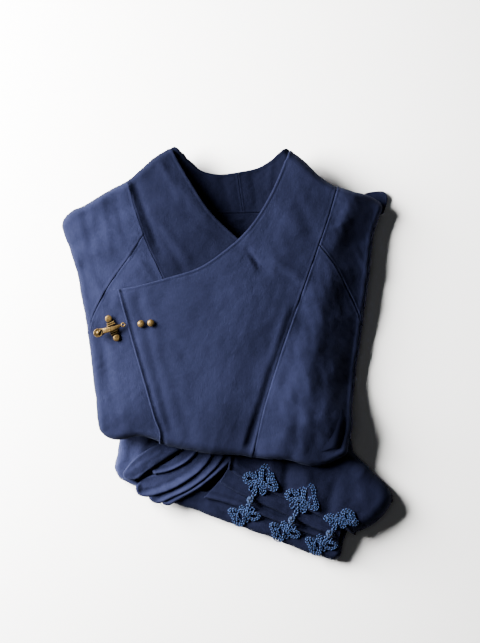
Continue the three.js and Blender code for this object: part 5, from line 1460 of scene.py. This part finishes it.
# turned shapes are rows of radius, height and how much painted shade darkens that row
clasp = {
    "shift": (1.8, 1.3), "upper": (-168.1, 50.4), "lower": (-156.9, 23.9), "bed": 43.0,
    "lugShape": rows((3.0, 0.0, 1.0), (4.6, 0.2, 0.9), (5.0, 0.9, 0.5), (4.95, 1.7, 0.1), (4.5, 2.4, 0.0),
                     (3.5, 2.75, 0.0), (2.4, 2.8, 0.12), (1.3, 2.9, 0.0), (0.3, 2.95, 0.0)),
    "baseWide": (4.4, 5.6, 6.2, 5.6, 4.4), "baseTop": (1.9, 2.1, 1.9), "baseDeep": 1.9,
    # bars across the base: distance from its middle, half length, half width, top, painted shade
    "bars": [(-5.3, 6.3, 0.95, 2.75, 0.0), (-7.9, 5.5, 0.85, 2.5, 0.1), (5.3, 6.3, 0.95, 2.75, 0.0),
             (7.9, 5.5, 0.85, 2.5, 0.1)],
    "cup": (-182.7, 30.7),
    "cupShape": rows((3.4, 44.6, 1.0), (5.3, 45.2, 0.8), (6.1, 46.6, 0.4), (6.25, 48.4, 0.0),
                     (5.95, 49.9, 0.0), (5.35, 50.35, 0.0), (4.85, 49.9, 0.3), (4.65, 49.1, 1.0),
                     (4.35, 49.2, 0.9), (4.1, 49.8, 0.1), (3.8, 50.0, 0.0), (3.5, 49.7, 0.3),
                     (3.3, 49.0, 1.0), (0.3, 48.9, 1.0)),
    "dome": (-182.2, 30.8),
    "domeShape": rows((3.0, 48.8, 1.0), (3.0, 49.6, 0.35), (2.75, 50.5, 0.0), (2.2, 51.2, 0.0),
                      (1.3, 51.7, 0.0), (0.25, 51.85, 0.0)),
    "neckPath": rows((-183.5, 30.6), (-179.5, 31.7), (-174.6, 33.6)),
    "neckWide": (5.2, 5.3, 4.0), "neckTop": (49.6, 49.9, 50.1), "neckDeep": 4.2,
    "hole": (-177.3, 32.5),
    "holeShape": rows((3.4, 48.6, 0.4), (3.4, 49.9, 0.1), (3.05, 50.4, 0.0), (2.7, 50.2, 0.3),
                      (2.5, 50.15, 1.0), (0.3, 50.15, 1.0)),
    "barPath": rows((-176.4, 33.2), (-170.5, 34.6), (-165.2, 35.7), (-160, 37.3), (-155.6, 39.1),
                    (-150.4, 41.4)),
    "barWide": (3.5, 3.75, 3.5, 3.0, 2.4, 1.7), "barTop": (50.1, 51.5, 52.2, 52.0, 51.2, 49.9),
    "barDeep": 3.6,
    "eye": (-147.4, 42.0), "eyeRing": (2.35, 1.05), "eyeLevel": 49.2,
    # how a bar's ends are drawn in: over what length, and to what share of its width and thickness
    "endReach": 0.8, "endWide": 0.72, "endThick": 0.6,
}
studs = {
    "places": {"stud_1": (-122.5, 43.3), "stud_2": (-108.8, 44.4)},
    "shape": rows((3.6, 0.0, 1.0), (4.9, 0.25, 0.8), (5.15, 0.9, 0.35), (5.0, 1.6, 0.05), (4.5, 2.3, 0.0),
                  (3.5, 2.85, 0.0), (2.2, 3.2, 0.0), (0.9, 3.35, 0.0), (0.2, 3.4, 0.0)),
}


def loft(form, rings, recessShades):
    # a closed skin over closed rings with equal counts of points
    up, around = rings.shape[:2]
    made = bmesh.ops.create_grid(form, x_segments=around, y_segments=up - 1, size=0.5)["verts"]
    layer = form.loops.layers.uv.verify()
    parts = {vert: (round((vert.co.x + 0.5) * around), round((vert.co.y + 0.5) * (up - 1))) for vert in made}
    for face in {face for vert in made for face in vert.link_faces}:
        for loop in face.loops:
            i, j = parts[loop.vert]
            loop[layer].uv = (recessShades[j], i / around)
    for vert, (i, j) in parts.items():
        vert.co = (rings[j, i % around] + planShift) / 1000
    bmesh.ops.remove_doubles(form, verts=made, dist=1e-7)
    bmesh.ops.holes_fill(form, edges=[edge for edge in form.edges if edge.is_boundary], sides=0)


def lathe(form, middle, shape, bed=0.0, around=48):
    # a turned shape, closed at its first and last rows
    angle = np.linspace(0, 2 * math.pi, around, endpoint=False)
    rings = np.stack([np.column_stack([middle[0] + size * np.cos(angle), middle[1] + size * np.sin(angle),
                                       np.full(around, level + bed)]) for size, level, _ in shape])
    loft(form, rings, shape[:, 2])


def barAlong(form, path, wide, top, deep, age, square=0.5, steps=26, around=32):
    # a bar with rounded corners, its ends drawn in
    path, run = evenly(np.asarray(path, float), steps), np.linspace(0, 1, steps + 1)
    half = np.interp(run, np.linspace(0, 1, len(wide)), wide)
    middle = np.interp(run, np.linspace(0, 1, len(top)), top) - deep / 2
    end = np.clip(np.minimum(run, 1 - run) * lengthOf(path) / clasp["endReach"], 0, 1)
    full = np.sqrt(1 - (1 - end) ** 2)
    half = half * (clasp["endWide"] + (1 - clasp["endWide"]) * full)
    thick = deep / 2 * (clasp["endThick"] + (1 - clasp["endThick"]) * full)
    ahead = np.gradient(path, axis=0)
    side = np.stack([ahead[:, 1], -ahead[:, 0]], axis=1) / np.hypot(*ahead.T)[:, None]
    angle = np.linspace(0, 2 * math.pi, around, endpoint=False)
    c, s = np.cos(angle), np.sin(angle)
    across, height = np.sign(c) * np.abs(c) ** square, np.sign(s) * np.abs(s) ** square
    flat = path[:, None] + side[:, None] * (half[:, None] * across)[..., None]
    levels = middle[:, None] + thick[:, None] * height
    loft(form, np.concatenate([flat, levels[..., None]], axis=2), np.full(steps + 1, age))


def ringAt(form, middle, level, reach, thick, around=40, bends=14):
    # a ring of round wire, lying flat
    bend = np.linspace(0, 2 * math.pi, bends, endpoint=False)
    size = reach + thick * np.cos(bend)
    high = level + thick * 0.9 * np.sin(bend)
    rings = np.stack([np.column_stack([middle[0] + size * math.cos(a), middle[1] + size * math.sin(a), high])
                      for a in np.linspace(0, 2 * math.pi, around + 1)[:-1]])
    made = bmesh.ops.create_grid(form, x_segments=bends, y_segments=around, size=0.5)["verts"]
    for vert in made:
        i, j = round((vert.co.x + 0.5) * bends) % bends, round((vert.co.y + 0.5) * around) % around
        vert.co = (rings[j, i] + planShift) / 1000
    bmesh.ops.remove_doubles(form, verts=made, dist=1e-7)


def addBrass(name, form):
    form.loops.layers.uv.verify()
    bmesh.ops.translate(form, verts=form.verts, vec=(clasp["shift"][0] / 1000, clasp["shift"][1] / 1000, 0))
    bmesh.ops.recalc_face_normals(form, faces=form.faces)
    bmesh.ops.triangulate(form, faces=[face for face in form.faces if len(face.verts) > 4])
    mesh = meshOf(form, name + "_brass")
    mesh.uv_layers[0].name = "age"
    addPiece(name, "_brass", mesh, brassFinish, "aged_brass")


def layBase():
    upper, lower = np.array(clasp["upper"]), np.array(clasp["lower"])
    middle, run = (upper + lower) / 2, (lower - upper) / np.hypot(*(lower - upper))
    side = np.array([-run[1], run[0]])
    bed = clasp["bed"]
    form = bmesh.new()
    top = [bed + height for height in clasp["baseTop"]]
    # the base plate under the lever is marked for painted shade
    barAlong(form, [upper, lower], clasp["baseWide"], top, clasp["baseDeep"], 0.8, 0.6)
    for away, reach, half, high, age in clasp["bars"]:
        spot = middle + run * away
        barAlong(form, [spot - side * reach, spot + side * reach], (half,), (bed + high,), high, age, 0.75)
    for lug in (upper, lower):
        lathe(form, lug, clasp["lugShape"], bed)
    addBrass("clasp_base", form)


def layLever():
    form = bmesh.new()
    neckLine, barLine = spline(clasp["neckPath"], 20), spline(clasp["barPath"], 40)
    barAlong(form, neckLine, clasp["neckWide"], clasp["neckTop"], clasp["neckDeep"], 0.15, 0.6)
    for part in ("cup", "dome", "hole"):
        lathe(form, clasp[part], clasp[part + "Shape"])
    barAlong(form, barLine, clasp["barWide"], clasp["barTop"], clasp["barDeep"], 0.0, 0.5, 48)
    addBrass("clasp_lever", form)


def layEye():
    form = bmesh.new()
    ringAt(form, clasp["eye"], clasp["eyeLevel"], *clasp["eyeRing"])
    addBrass("clasp_ring", form)


def layStud(name, middle):
    form = bmesh.new()
    lathe(form, middle, studs["shape"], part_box(name)[0].z * 1000)
    addBrass(name, form)


layBase()
layLever()
layEye()
for name, place in studs["places"].items():
    layStud(name, place)
print("clasp and studs set")
